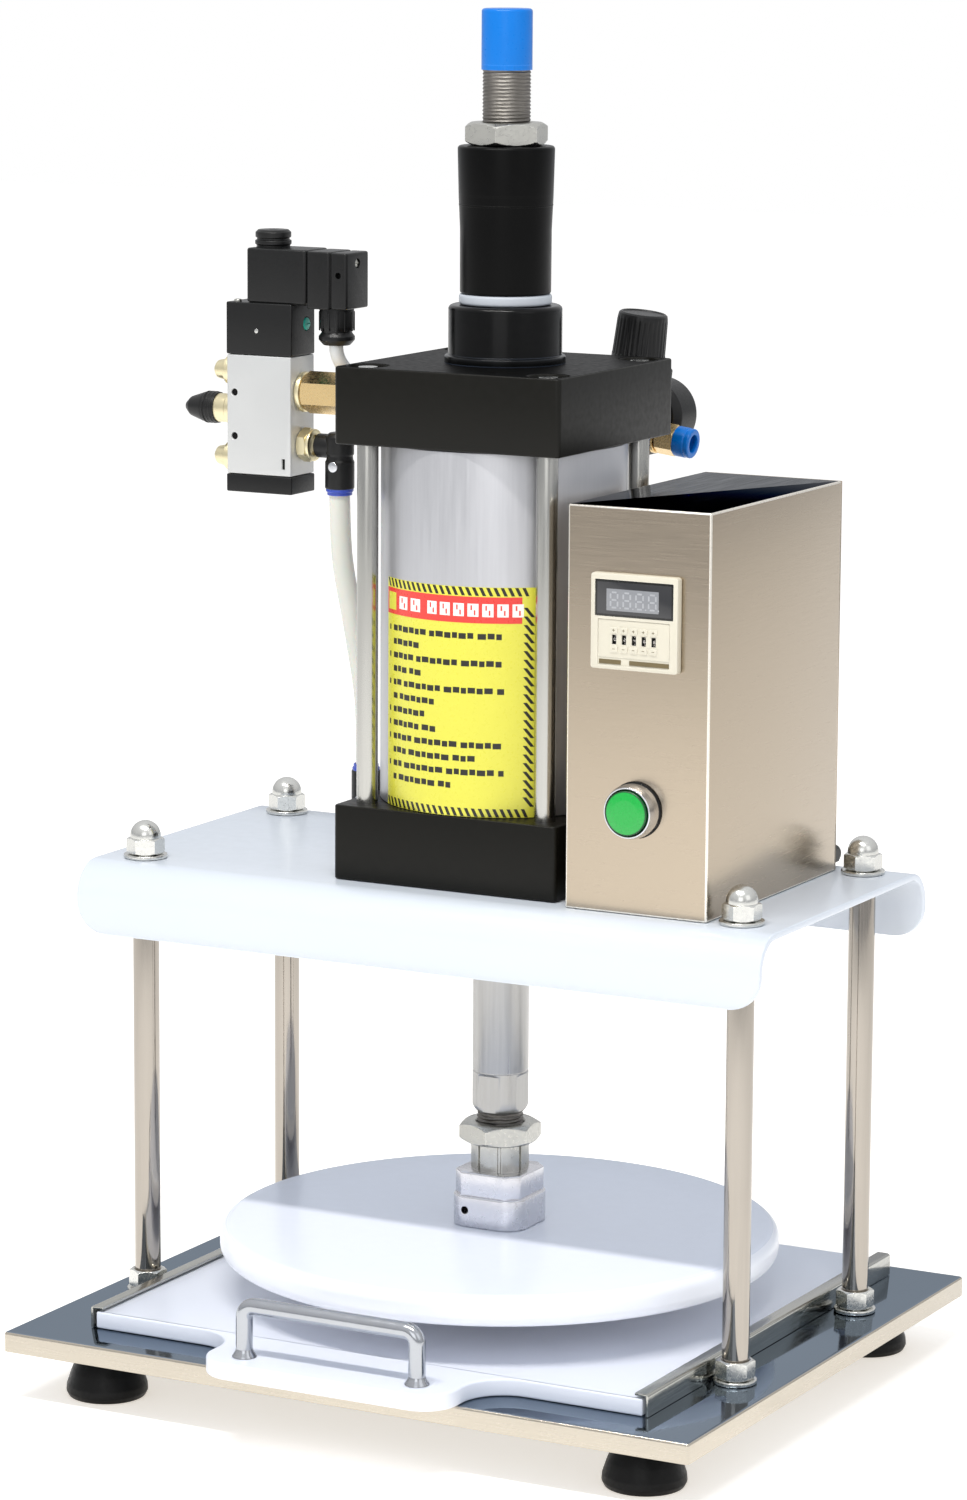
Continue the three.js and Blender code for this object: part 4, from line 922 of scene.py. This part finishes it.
# ---------- timer ----------
TIMER = {"x": 129.2, "z": 457.0, "face": -88.8}
WHEEL_Z = 447.4
WHEEL_X = [TIMER["x"] + (k - 2) * 5.9 for k in range(5)]


def facing(shape, z_mid=0.0):
    """Heights of the solid run outwards from the timer's face."""
    return to_front(shape, (0, TIMER["face"], z_mid))


def plaque(x0, x1, z0, z1, low, high, corner=0.3, bevel=0.15):
    outline = rect(x1 - x0, z1 - z0, corner, 3, ((x0 + x1) / 2, (z0 + z1) / 2))
    return facing(prism(outline, low, high, bevel, 2))


tx, tz = TIMER["x"], TIMER["z"]
bezel = plaque(tx - 26, tx + 26, tz - 26, tz + 26, -5.7, 0, 1.6, 0.8)
cutters = [plaque(tx - 23.5, tx + 23.5, 459.7, 479.7, -1.0, 3, 0.4, 0.05)]
cutters.append(plaque(tx - 21.6, tx + 21.6, 433.2, 458.3, -0.7, 3, 0.4, 0.05))
for x in WHEEL_X:
    cutters.append(plaque(x - 1.35, x + 1.35, WHEEL_Z - 2.6, WHEEL_Z + 2.6, -3.0, 3, 0.2, 0.05))
WHEEL_ROOM = (WHEEL_X[0] - 3.2, WHEEL_X[-1] + 3.2, WHEEL_Z - 4.8, WHEEL_Z + 4.8)
shapes = [(carve(bezel, *cutters, plaque(*WHEEL_ROOM, -6.5, -1.05)), "ivory")]
shapes.append((plaque(tx - 23.3, tx + 23.3, 459.9, 479.5, -0.95, -0.55, 0.3, 0.1), "window_edge"))
shapes.append((plaque(tx - 22.2, tx + 22.2, 461.0, 478.4, -0.6, -0.42, 0.3, 0.05), "window"))
shapes.append((plaque(112.6, 143.8, 462.9, 474.8, -0.5, -0.3, 0.3, 0.05), "glass_grey"))
wheel_panel = plaque(tx - 21.2, tx + 21.2, 437.6, 457.9, -0.68, -0.35, 0.4, 0.15)
shapes.append((carve(wheel_panel, *cutters[2:]), "ivory"))
for x0, x1 in ((108.4, 121.5), (126.5, 150.2)):
    shapes.append((plaque(x0, x1, 433.9, 436.4, -0.68, -0.4, 0.3, 0.08), "brown_print"))
SEGMENTS = {"a": (0, 1, 1), "b": (1, 0.5, 0), "c": (1, -0.5, 0), "d": (0, -1, 1), "e": (-1, -0.5, 0),
            "f": (-1, 0.5, 0), "g": (0, 0, 1)}


def segment_boxes(cx, cz, wide, tall, thick, lit="abcdefg"):
    """The bars of a seven-segment figure as (x0, x1, z0, z1)."""
    made = []
    for key in lit:
        sx, sz, level = SEGMENTS[key]
        mx, mz = cx + sx * wide / 2, cz + sz * tall / 2
        reach = (wide - thick * 1.4) / 2 if level else (tall / 2 - thick * 1.4) / 2
        if level:
            made.append((mx - reach, mx + reach, mz - thick / 2, mz + thick / 2))
        else:
            made.append((mx - thick / 2, mx + thick / 2, mz - reach, mz + reach))
    return made


for k in range(4):
    cx = 117.2 + k * 7.6
    for x0, x1, z0, z1 in segment_boxes(cx, 468.8, 4.2, 8.2, 1.0):
        shapes.append((plaque(x0, x1, z0, z1, -0.35, -0.24, 0.15, 0.03), "segments"))
    shapes.append((plaque(cx + 3.3, cx + 4.1, 464.2, 465.0, -0.35, -0.24, 0.15, 0.03), "segments"))
for x in WHEEL_X:
    for z in (WHEEL_Z + 5.1, WHEEL_Z - 5.1):
        shapes.append((plaque(x - 2.2, x + 2.2, z - 1.7, z + 1.7, -0.5, 0.35, 0.5, 0.3), "ivory"))
        shapes.append((plaque(x - 0.8, x + 0.8, z - 0.18, z + 0.18, 0.3, 0.39, 0.05, 0.02), "brown_print"))
    z = WHEEL_Z + 5.1
    shapes.append((plaque(x - 0.18, x + 0.18, z - 0.8, z + 0.8, 0.3, 0.39, 0.05, 0.02), "brown_print"))
body = block((tx - 22.2, -83.0, tz - 22.2), (tx + 22.2, -12.8, tz + 22.2), 1.5, 0.8)
shapes.append((carve(body, plaque(*WHEEL_ROOM, -11.0, -4.0)), "plastic_black"))
piece("timer_front", "frame", shapes, ["timer_case"])

FIGURES = ("abcdef", "bc", "abged", "abgcd", "fgbc", "afgcd", "afgedc", "abc", "abcdefg", "abcfgd")
wheel_y = TIMER["face"] + 1.2 + 4.2
wheel_drum = turned([(0.6, -1.6), (4.12, -1.6, 0.25), (4.12, 1.6, 0.25), (0.6, 1.6)], 60, 0.2)
for index, x in enumerate(WHEEL_X):
    shapes = [(to_x(wheel_drum, (x, wheel_y, WHEEL_Z)), "plastic_black")]
    for figure, lit in enumerate(FIGURES):
        turn = Matrix.Rotation(math.radians(36 * (figure - index * 2)), 4, "X")
        place = Matrix.Translation((x, wheel_y, WHEEL_Z)) @ turn
        for x0, x1, z0, z1 in segment_boxes(0, 0, 0.95, 1.5, 0.26, lit):
            bar = block((x0, -4.2, z0), (x1, -4.08, z1), 0.02, 0.02, 1)
            shapes.append((carried(place, bar), "label_pale"))
    n = index + 1
    piece(f"number_wheel_{n}", f"wheel_{n}", shapes, [f"digit_wheel_{n}"])

# ---------- start button ----------
BUTTON = (128.8, -82.8, 354.4)
bezel_points = [(12.75, 2.4, 0.2), (12.75, 10.8, 0.4), (13.2, 11.4, 0.3), (13.9, 11.4, 0.5), (15.0, 7.2, 1.5)]
bezel_points += [(15.0, 1.0, 0.3), (13.0, 1.0, 0.1)]
bezel_ring = lathe(soften(bezel_points, 0.3, 5), 96, True)
gasket = plain_ring(11, 15.6, 0.3, 1.2, 72, 0.3)
well = plain_ring(9.9, 12.9, 1.0, 2.2, 72, 0.2)
thread_barrel = carve(screw_thread(11, 0.7, 1.5, -34, 0.6, 48, 5), lathe([(10.2, -30), (10.2, 3)], 48))
contacts = block((-14, -10, -56), (14, 10, -32), 1.5, 0.8)
shapes = [(bezel_ring, "rim_steel"), (gasket, "rubber")]
shapes += made_of("plastic_black", well, thread_barrel, contacts)
shapes = [(to_front(solid, BUTTON), finish) for solid, finish in shapes]
piece("button_ring", "frame", shapes, ["button_bezel"])
cap_points = [(0.4, -17.0), (9.7, -17.0, 0.3), (9.7, 7.0, 0.2), (12.3, 7.0, 0.4), (12.3, 12.6, 0.9)]
cap_points += [(7.5, 13.4, 8), (0.4, 13.6)]
lens = to_front(lathe(soften(cap_points, 0.3, 6, False), 96), BUTTON)


def lens_finish(centre, normal):
    return "green_rim" if math.hypot(centre.x - BUTTON[0], centre.z - BUTTON[2]) > 11.3 else "green"


piece("start_cap", "start_button", [(lens, lens_finish)], ["button_cap"])

# ---------- cable gland at the box's back ----------
GLAND = (164, 87.5, 303.5)
gland_nut = hexnut(12, 0.3, 8.7, 3.4, count=60)
collar_points = [(3.2, 8.8), (5.9, 8.8, 0.2), (5.9, 10.5, 1.0), (4.6, 13.9, 0.8), (3.2, 13.9, 0.3)]
dome_collar = turned(collar_points, 48, 0.3, True)
inner_thread = plain_ring(3.2, 4.9, -7.5, 0.4, 40, 0.3)
shapes = made_of("plastic_black", *[to_back(s, GLAND) for s in (gland_nut, dome_collar, inner_thread)])
piece("mains_gland", "frame", shapes, ["cable_gland"])

# ---------- solenoid valve ----------
V_LEFT, V_RIGHT, V_FRONT, V_BACK, V_LOW, V_TOP = -166.0, -124.0, -18.5, 8.5, 513.0, 581.0
V_MID = (V_FRONT + V_BACK) / 2
NIPPLE_Z, UPPER_PORT, LOWER_PORT = 560.6, 530.5, 318.0
body = block((V_LEFT, V_FRONT, V_LOW), (V_RIGHT, V_BACK, V_TOP), 0.9, 0.7, 3)
HOLE_HEIGHTS = (559.5, 534.5)
cutters = []
for z in HOLE_HEIGHTS:
    hole = lathe([(2.1, -2), (2.1, 4.5), (0.3, 5.6)], 28)
    rim = lathe([(2.6, -0.4), (1.9, 0.4)], 28)
    cutters += [move(cutter, (-161.0, V_FRONT, z), (0, 1, 0)) for cutter in (hole, rim)]
    cutters += [move(hole, (x, V_BACK, z), (0, -1, 0)) for x in (-161.0, -129.0)]
cutters.append(block((-130.1, V_FRONT - 2, 516.6), (-127.6, V_FRONT + 0.8, 523.2), 1.1, 0.05, 1))
# A near-black floor in the slot: painted shade.
slot_floor = block((-129.7, V_FRONT + 0.4, 517.0), (-128.0, V_FRONT + 1.0, 522.8), 0.7, 0.1, 1)
shapes = [(carve(body, *cutters), "valve"), (slot_floor, "painted_shade_and_black")]
# Near-black linings in the front holes: painted shade.
sunk = lathe([(2.05, 1.2), (2.05, 4.0), (0.3, 4.6)], 28)
shapes += made_of("painted_shade_and_black", *[move(sunk, (-161.0, V_FRONT, z), (0, 1, 0)) for z in HOLE_HEIGHTS])
piece("valve_block", "frame", shapes, ["valve_body"])

PIN_Y, PIN_Z = -1, 599
pilot = block((V_LEFT - 0.5, V_FRONT, V_TOP + 0.3), (V_RIGHT + 0.5, V_BACK, 611.0), 1.0, 0.9)
pin_hole = lathe([(4.1, 36), (4.1, 50)], 36)
pin_rim = lathe([(4.1, 37.2), (4.9, 38.05)], 36)
pilot = carve(pilot, *[to_x(cutter, (-162, PIN_Y, PIN_Z)) for cutter in (pin_hole, pin_rim)])
front_screw = to_front(plain_disc(0.2, 1.25, -1.0, 0.25, 24, 0.2), (-146.4, V_FRONT, 595))
shapes = [(pilot, "plastic_black"), (front_screw, "nut")]
head = carve(plain_disc(0.2, 2.2, 610.6, 612.4, 28), hexnut(2.2, 611.4, 613))
for x in (V_LEFT + 5, V_RIGHT - 5):
    for y in (V_FRONT + 4.4, V_BACK - 4.4):
        shapes.append((move(head, (x, y, 0)), "zinc"))
piece("pilot_block", "frame", shapes, ["valve_pilot_cap"])
end_block = block((V_LEFT - 0.5, V_FRONT, 502.5), (V_RIGHT + 0.5, V_BACK, V_LOW - 0.3), 1.0, 0.9)
piece("end_block", "frame", [(end_block, "plastic_black")], ["valve_end_cap"])
push = soften([(0.3, -3), (3.6, -3), (3.6, 0.9, 0.6), (0.3, 1.2)], 0.2, 4, False)
pin = carve(lathe(push, 48), block((-2.6, -0.4, 0.5), (2.6, 0.4, 2), 0.1, 0.05, 1))
pin = to_x(pin, (V_RIGHT, PIN_Y, PIN_Z))
piece("override_pin", "override", [(pin, "teal")], ["override_button"])

coil = block((-153.5, V_FRONT + 0.5, 611.3), (-114.3, V_BACK - 0.5, 642.0), 2.2, 1.3, 4)
nut_points = [(0.5, 641.5), (9.6, 641.5, 0.3), (9.6, 643.3, 0.4), (10.4, 643.9, 0.4), (10.4, 645.9, 0.5)]
nut_points += [(9.3, 646.4, 0.3), (9.3, 647.2, 0.3), (10.2, 647.8, 0.4), (10.2, 650.6, 0.8)]
nut_points += [(8.6, 652.0, 0.6), (3.0, 652.0, 0.4), (0.5, 651.2)]
coil_nut = move(lathe(soften(nut_points, 0.3, 4, False), 48), (-143, V_MID, 0))
# A near-black sheet in the gap between pilot block and coil: painted shade between the parts.
coil_gap = block((-152.5, V_FRONT + 1.5, 610.6), (-115.3, V_BACK - 1.5, 611.6), 1.5, 0.2, 1)
shapes = made_of("plastic_black", coil, coil_nut) + [(coil_gap, "painted_shade_and_black")]
piece("coil_case", "frame", shapes, ["solenoid_coil"])

plug = block((-114.0, V_FRONT + 0.5, 609.0), (-99.1, V_BACK - 0.5, 641.5), 1.6, 1.1, 4)
cover = block((-98.6, V_FRONT + 0.5, 609.4), (-88.0, V_BACK - 0.5, 641.2), 1.8, 1.2, 4)
# A near-black sheet in the seam between plug and cover: painted shade between the parts.
seam = block((-99.6, V_FRONT + 1.3, 610.2), (-98.0, V_BACK - 1.3, 640.6), 1.2, 0.2, 1)
PLUG_SCREW = (-88.0, V_MID, 635.0)
side_hole = to_front(lathe([(1.9, -4), (1.9, 3)], 32), (-93.4, V_FRONT + 0.5, 628.5))
screw_hole = move(lathe([(2.8, -3.0), (2.8, 3)], 32), PLUG_SCREW, (1, 0, 0))
cover = carve(cover, side_hole, screw_hole)
slot = block((-2.4, -0.35, -1.6), (2.4, 0.35, 0), 0.1, 0.05, 1)
slotted = carve(plain_disc(0.3, 2.6, -2.8, -0.9, 32), slot)
LEAD_X = -101.5
cable_collar = [(4.9, 588.3, 0.3), (7.6, 588.3, 0.8), (10.3, 591.4, 0.8), (10.3, 593.4, 0.5)]
cable_collar += [(8.6, 595.6, 0.6), (9.6, 598.6, 0.8), (9.9, 609.6, 0.3), (4.9, 609.6, 0.3)]
shapes = made_of("plastic_black", plug, cover) + [(seam, "painted_shade_and_black")]
shapes.append((move(slotted, PLUG_SCREW, (1, 0, 0)), "zinc"))
shapes.append((move(lathe(soften(cable_collar, 0.4, 4), 56, True), (LEAD_X, V_MID, 0)), "plastic_black"))
rib = block((-0.9, 9.3, 596.5), (0.9, 10.25, 607.5), 0.4, 0.3, 2)
for k in range(12):
    spun = Matrix.Translation((LEAD_X, V_MID, 0)) @ Matrix.Rotation(2 * math.pi * k / 12, 4, "Z")
    shapes.append((carried(spun, rib), "plastic_black"))
piece("plug_case", "frame", shapes, ["coil_plug"])

NIPPLE = (V_RIGHT, AXIS_Y, NIPPLE_Z)
flange = plain_ring(6, 11.5, 0.3, 3.8, 56, 1.1, 4)
nipple_hex = hexnut(21, 3.9, 44.0, 0)
nipple_neck = screw_thread(9.5, 0.7, 1.6, 43.5, 61.5, 40)
shapes = [(to_x(flange, NIPPLE), "brass_pale")]
shapes += made_of("brass", to_x(nipple_hex, NIPPLE), to_x(nipple_neck, NIPPLE))
piece("brass_nipple", "frame", shapes, ["valve_nipple"])


# Silencers in the valve's exhaust ports, and the plugged supply port between them.
def on_left(shape, z):
    """The solid run out of the valve's left side."""
    return move(shape, (V_LEFT, -5, z), (-1, 0, 0))


SUPPLY_Z = 548.6
silencer_points = [(0.4, -1), (7.2, -1), (7.2, 2.2, 0.6), (8.4, 2.6, 0.4), (8.4, 6.2, 0.8), (6.4, 7.0, 0.4)]
silencer_points += [(5.2, 13.0, 2.0), (2.0, 15.3, 1.2), (0.4, 15.4)]
silencer = lathe(soften(silencer_points, 0.4, 5, False), 48)
supply_points = [(0.4, -1), (9.4, -1), (9.4, 5.0, 1.0), (8.3, 5.6, 0.5), (8.3, 14.5, 0.8), (0.4, 14.5)]
supply = lathe(soften(supply_points, 0.4, 4, False), 56)
shapes = made_of("brass_pale", on_left(silencer, 570.8), on_left(silencer, 521.4), on_left(supply, SUPPLY_Z))
piece("exhaust_silencers", "frame", shapes)
nose_points = [(0.4, 12.6), (8.9, 12.6), (9.1, 16.5, 1.5), (8.6, 22.0, 4), (5.6, 31.0, 4), (2.2, 34.6, 1.8)]
nose_points += [(0.3, 34.8)]
nose = [lathe(soften(nose_points, 0.5, 6, False), 56)]
nose += [plain_ring(8.6, 9.25, 14.6 + k * 2.4, 15.6 + k * 2.4, 56, 0.2) for k in range(3)]
shapes = made_of("plastic_black", *[on_left(solid, SUPPLY_Z) for solid in nose])
piece("supply_nose", "frame", shapes)


# ---------- elbows and air tube ----------
def elbow(corner, stud_end, port_z, mouth, name, node_name, stud_shapes):
    """Push-in elbow: a screwed stud along X and a tube socket along Z, with its release ring at the mouth."""
    sign = 1 if mouth > port_z else -1
    reach = abs(mouth - port_z)
    at = (corner, AXIS_Y, port_z)
    socket_points = [(0.4, -8.2), (6.0, -8.2, 2.0), (8.2, -5.4, 2.5), (8.2, 4.0, 1.0), (7.5, 5.2, 0.5)]
    socket_points += [(7.7, 7.2, 0.5), (8.4, 8.6, 0.6), (8.4, reach - 3.6, 0.8), (6.3, reach - 3.6, 0.2)]
    socket = lathe(soften(socket_points, 0.5, 4, False), 56)
    ring_points = [(6.25, reach - 4), (7.9, reach - 4), (7.9, reach - 2.2), (7.2, reach - 1.7), (7.2, reach)]
    ring = turned([*ring_points, (6.25, reach)], 56, 0.3, True)
    arm = 1 if stud_end > corner else -1
    neck = plain_disc(0.5, 6.9, 0, abs(stud_end - corner) - 6.5, ease=0.8)
    button = plain_disc(0.3, 3.0, 7.0, 8.6, 32, 0.5)
    shapes = [(move(socket, at, (0, 0, sign)), "plastic_black"), (move(ring, at, (0, 0, sign)), "release")]
    shapes.append((move(neck, at, (arm, 0, 0)), "plastic_black"))
    shapes.append((to_front(button, (corner, AXIS_Y, port_z + sign * 11)), "rim_steel"))
    piece(name, "frame", shapes + stud_shapes, [node_name])


wall = AXIS_X - 70
upper_at = (V_RIGHT, AXIS_Y, UPPER_PORT)
upper_stud = made_of("brass_pale", hexnut(17, 0.3, 6.4, 0), plain_ring(6, 9.2, 6.3, 8.6, ease=0.6))
upper_stud.append((screw_thread(6.9, 0.6, 1.4, -6, 0.6, 36), "brass"))
upper_stud = [(to_x(solid, upper_at), finish) for solid, finish in upper_stud]
elbow(-99.5, V_RIGHT + 4, UPPER_PORT, 503.0, "elbow_high", "upper_elbow", upper_stud)
lower_at = (wall, AXIS_Y, LOWER_PORT)
lower_stud = [(to_x(plain_ring(6, 8.6, -6.0, -0.3, ease=0.5), lower_at), "brass_pale")]
lower_stud.append((to_x(screw_thread(6.9, 0.6, 1.4, -1, 7.8, 36), lower_at), "brass"))
elbow(-82.0, wall + 4, LOWER_PORT, 349.5, "elbow_low", "lower_elbow", lower_stud)

tube_top, tube_foot = 515.0, 337.5
tube_line = [(-99.5, AXIS_Y, tube_top), (-99.5, AXIS_Y, tube_top - 16), (-97.5, AXIS_Y, tube_top - 50)]
tube_line += [(-89.75, AXIS_Y, (tube_top + tube_foot) / 2), (-83.0, AXIS_Y, tube_foot + 50)]
tube_line += [(-82.0, AXIS_Y, tube_foot + 16), (-82.0, AXIS_Y, tube_foot)]
piece("milky_tube", "frame", [(sweep(spline(tube_line), 6.0, 40), "air")], ["air_tube"])

lead_line = [(LEAD_X, V_MID, 597), (LEAD_X, V_MID, 584), (-100.5, V_MID + 8, 574)]
lead_line += [(-97, 20, 562), (-92, 48, 542)]
lead_line += [(-78, 72, 514), (-52, 86, 490), (-18, 92, 474), (18, 92, 466), (48, 84, 465), (70, 72, 468)]
lead_line += [(80, 66.5, 470), (92.2, 66, 470)]
grommet = to_x(plain_ring(4.1, 6.6, -2.2, 1.6, 40, 0.6), (BOX["left"] - 1.7, 66, 470))
shapes = [(sweep(spline(lead_line), 4.0, 28), "cable"), (grommet, "rubber")]
piece("coil_lead", "frame", shapes, ["valve_lead"])

# ---------- pressure regulator, leaning towards +X ----------
REG = (36.0, 97.0)
REG_Z = 560.0
LEAN = Matrix.Translation((0, 0, REG_Z)) @ Matrix.Rotation(0.12, 4, "Y")
INLET, GAUGE = (0, 0, -23), (0, 0, -16)


def reg_piece(name, body_name, shapes, nodes):
    piece(name, body_name, shapes, nodes, REG, tilt=LEAN)


reach = REG[1] - AXIS_Y - 70 - 0.8
housing = block((-16, -16, -34), (16, 16, 15), 2.5, 1.4, 4)
bonnet = turned([(0.5, 14), (14.2, 14), (14.0, 18), (0.5, 18)], 56, 0.8)
post = plain_disc(0.5, 10, 17, 37.5, 48, 0.6)
port_ring = plain_ring(4, 9.4, 15, 19, 48, 0.5)
gauge_neck = plain_disc(0.5, 7, 14, 20.2, 40, 0.5)
bracket = block((-12, -reach, -12), (12, -15, 6), 1.0, 0.8, 3)
shapes = made_of("paint_black", housing, bonnet, post, bracket)
shapes += made_of("brass", to_x(port_ring, INLET), to_back(gauge_neck, GAUGE))
reg_piece("regulator_housing", "frame", shapes, ["regulator_body"])

knob_count = 180
knob_rings = []
knob_levels = [(19.0, 14.8, 0), (19.5, 15.4, 0), (21.6, 15.4, 0), (22.4, 15.2, 0.55), (41.5, 14.5, 0.5)]
knob_levels += [(43.4, 14.3, 0), (45.2, 13.9, 0), (46.0, 12.9, 0)]
for z, radius, depth in knob_levels:
    ring = []
    for k in range(knob_count):
        a = 2 * math.pi * k / knob_count
        r = radius - (depth if k % 6 in (0, 1) else 0)
        ring.append((r * math.cos(a), r * math.sin(a), z))
    knob_rings.append(ring)
knob_rings += round_rings(((12.0, 45.8), (11.6, 45.3), (4.0, 45.3), (1.0, 45.3)), knob_count)
shapes = [(loft(knob_rings), "plastic_black")]
reg_piece("adjusting_knob", "knob", shapes, ["regulator_knob"])

gauge_points = [(0.5, 20.4), (17, 20.4, 1.0), (21, 24.0, 1.5), (21, 42.5, 0.3), (20.9, 44, 0.8)]
gauge_points += [(18.4, 44, 0.5), (18.2, 42.4, 0.1), (0.5, 42.4)]
shapes = [(lathe(soften(gauge_points, 0.5, 4, False), 96), "plastic_black")]
shapes.append((plain_ring(18.3, 20.9, 42.6, 44.0, 96, 0.5), "rim_steel"))
shapes.append((plain_disc(0.4, 18.2, 42.2, 42.7, 96, 0.1), "dial"))
for k in range(26):
    inner, half = (13.2, 0.3) if k % 5 == 0 else (14.6, 0.15)
    mark = block((inner, -half, 42.65), (16.6, half, 42.8), 0.05, 0.02, 1)
    shapes.append((carried(Matrix.Rotation(math.radians(225 - k * 270 / 25), 4, "Z"), mark), "dial_ink"))
needle = prism([(-4, -0.7), (12.5, -0.15), (12.5, 0.15), (-4, 0.7)], 42.9, 43.3, 0.05, 1)
shapes.append((carried(Matrix.Rotation(math.radians(140), 4, "Z"), needle), "label_red"))
shapes.append((plain_disc(0.3, 1.8, 42.7, 43.7, 32, 0.3), "dial_ink"))
shapes = [(to_back(solid, GAUGE), finish) for solid, finish in shapes]
reg_piece("dial_gauge", "frame", shapes, ["pressure_gauge"])

fit_hex = hexnut(16, 19.3, 31.2, 5.3, count=72)
fit_points = [(5.3, 31.0), (8.7, 31.0, 0.4), (8.7, 37.5, 0.8), (7.9, 38.2, 0.3), (5.3, 38.2, 0.2)]
collet_points = [(5.15, 38.0), (8.4, 38.0, 0.3), (8.6, 41.2, 0.9), (5.15, 41.2, 0.5)]
shapes = [(fit_hex, "brass")]
shapes += made_of("blue", turned(fit_points, 56, 0.4, True), turned(collet_points, 56, 0.4, True))
# A near-black disc down the socket's bore: painted shade.
shapes.append((plain_disc(0.4, 5.4, 24.0, 25.0, 40, 0.2), "painted_shade_and_black"))
shapes = [(to_x(solid, INLET), finish) for solid, finish in shapes]
reg_piece("supply_socket", "frame", shapes, ["inlet_fitting"])

# ---------- floor, light and camera ----------
REACH = 9.0
pale = bpy.data.materials.new("pale_floor")
pale.use_nodes = True
tree = pale.node_tree
shader = tree.nodes["Principled BSDF"]
drift = node(tree, "TexNoise", {"Scale": 3.0})
pale_base = linear("F4F4F4")
tone = node(tree, "Mix", {6: shade(pale_base, 0.985), 7: shade(pale_base, 1.015)}, data_type="RGBA")
tree.links.new(drift.outputs["Fac"], tone.inputs[0])
tree.links.new(tone.outputs[2], shader.inputs["Base Color"])
shader.inputs["Roughness"].default_value = 0.85
shader.inputs["Emission Color"].default_value = (1, 0.91, 0.79, 1)
shader.inputs["Emission Strength"].default_value = 0.62
ground = bpy.data.meshes.new("ground")
corners = [(-REACH, -REACH, 0), (REACH, -REACH, 0), (REACH, REACH, 0), (-REACH, REACH, 0)]
ground.from_pydata(corners, [], [(0, 1, 2, 3)])
ground.materials.append(pale)
floor = bpy.data.objects.new("ground", ground)
bpy.context.scene.collection.objects.link(floor)


def softbox(name, at, target, width, height, power, color=(1, 1, 1)):
    light = bpy.data.lights.new(name, "AREA")
    light.shape = "RECTANGLE"
    light.size, light.size_y = width, height
    light.energy = power
    light.color = color
    lamp = bpy.data.objects.new(name, light)
    bpy.context.scene.collection.objects.link(lamp)
    lamp.location = at
    lamp.rotation_mode = "QUATERNION"
    lamp.rotation_quaternion = (Vector(target) - Vector(at)).to_track_quat("-Z", "Y")


# A strip lamp along X: the table's front lip throws a straight-edged shadow across the press disc.
softbox("key", (0.1, -1.07, 2.6), (0.1, -0.05, 0.15), 1.9, 0.14, 50, (1.0, 0.985, 0.96))
softbox("front", (0.9, -2.9, 1.3), (0, 0, 0.35), 1.6, 1.4, 8)
softbox("fill", (2.6, -0.8, 1.6), (0, 0, 0.4), 1.6, 1.6, 5)

world = bpy.data.worlds.new("studio")
bpy.context.scene.world = world
world.use_nodes = True
tree = world.node_tree
sky = tree.nodes["Background"]
direction = node(tree, "TexCoord")
split = node(tree, "SeparateXYZ")
level = node(tree, "MapRange", {"From Min": -0.15, "From Max": 0.9})
ramp = node(tree, "ValToRGB")
lowest, highest = ramp.color_ramp.elements
lowest.position, lowest.color = 0.0, (0.42, 0.44, 0.47, 1)
highest.position, highest.color = 1.0, (0.95, 0.96, 0.98, 1)
ramp.color_ramp.elements.new(0.45).color = (0.78, 0.78, 0.79, 1)
seen = node(tree, "LightPath")
pick = node(tree, "Mix", {6: (0.46, 0.52, 0.60, 1)}, data_type="RGBA")
backdrop = node(tree, "Mix", {7: (1, 1, 1, 1)}, data_type="RGBA")
for source, target in (
    (direction.outputs["Generated"], split.inputs["Vector"]),
    (split.outputs["Z"], level.inputs["Value"]),
    (level.outputs["Result"], ramp.inputs["Fac"]),
    (ramp.outputs["Color"], pick.inputs[7]),
    (seen.outputs["Is Glossy Ray"], pick.inputs[0]),
    (pick.outputs[2], backdrop.inputs[6]),
    (seen.outputs["Is Camera Ray"], backdrop.inputs[0]),
    (backdrop.outputs[2], sky.inputs["Color"]),
):
    tree.links.new(source, target)
sky.inputs["Strength"].default_value = 1.0

bpy.context.scene.view_settings.view_transform = "Standard"
bpy.context.scene.view_settings.look = "None"

AZIMUTH, ELEVATION, ROLL = math.radians(28.0), math.radians(9.89), math.radians(0.33)
level_reach = math.cos(ELEVATION)
backward = Vector((math.sin(AZIMUTH) * level_reach, -math.cos(AZIMUTH) * level_reach, math.sin(ELEVATION)))
right = (-backward).cross(Vector((0, 0, 1))).normalized()
upward = right.cross(-backward)
right_rolled = right * math.cos(ROLL) + upward * math.sin(ROLL)
up_rolled = upward * math.cos(ROLL) - right * math.sin(ROLL)
camera_data = bpy.data.cameras.new("camera")
camera_data.sensor_width = 36.0
camera_data.lens = 122.9
camera = bpy.data.objects.new("camera", camera_data)
bpy.context.scene.collection.objects.link(camera)
place = Matrix((right_rolled, up_rolled, backward)).transposed().to_4x4()
camera.matrix_world = Matrix.Translation((1.33224, -2.51106, 0.86077)) @ place
bpy.context.scene.camera = camera
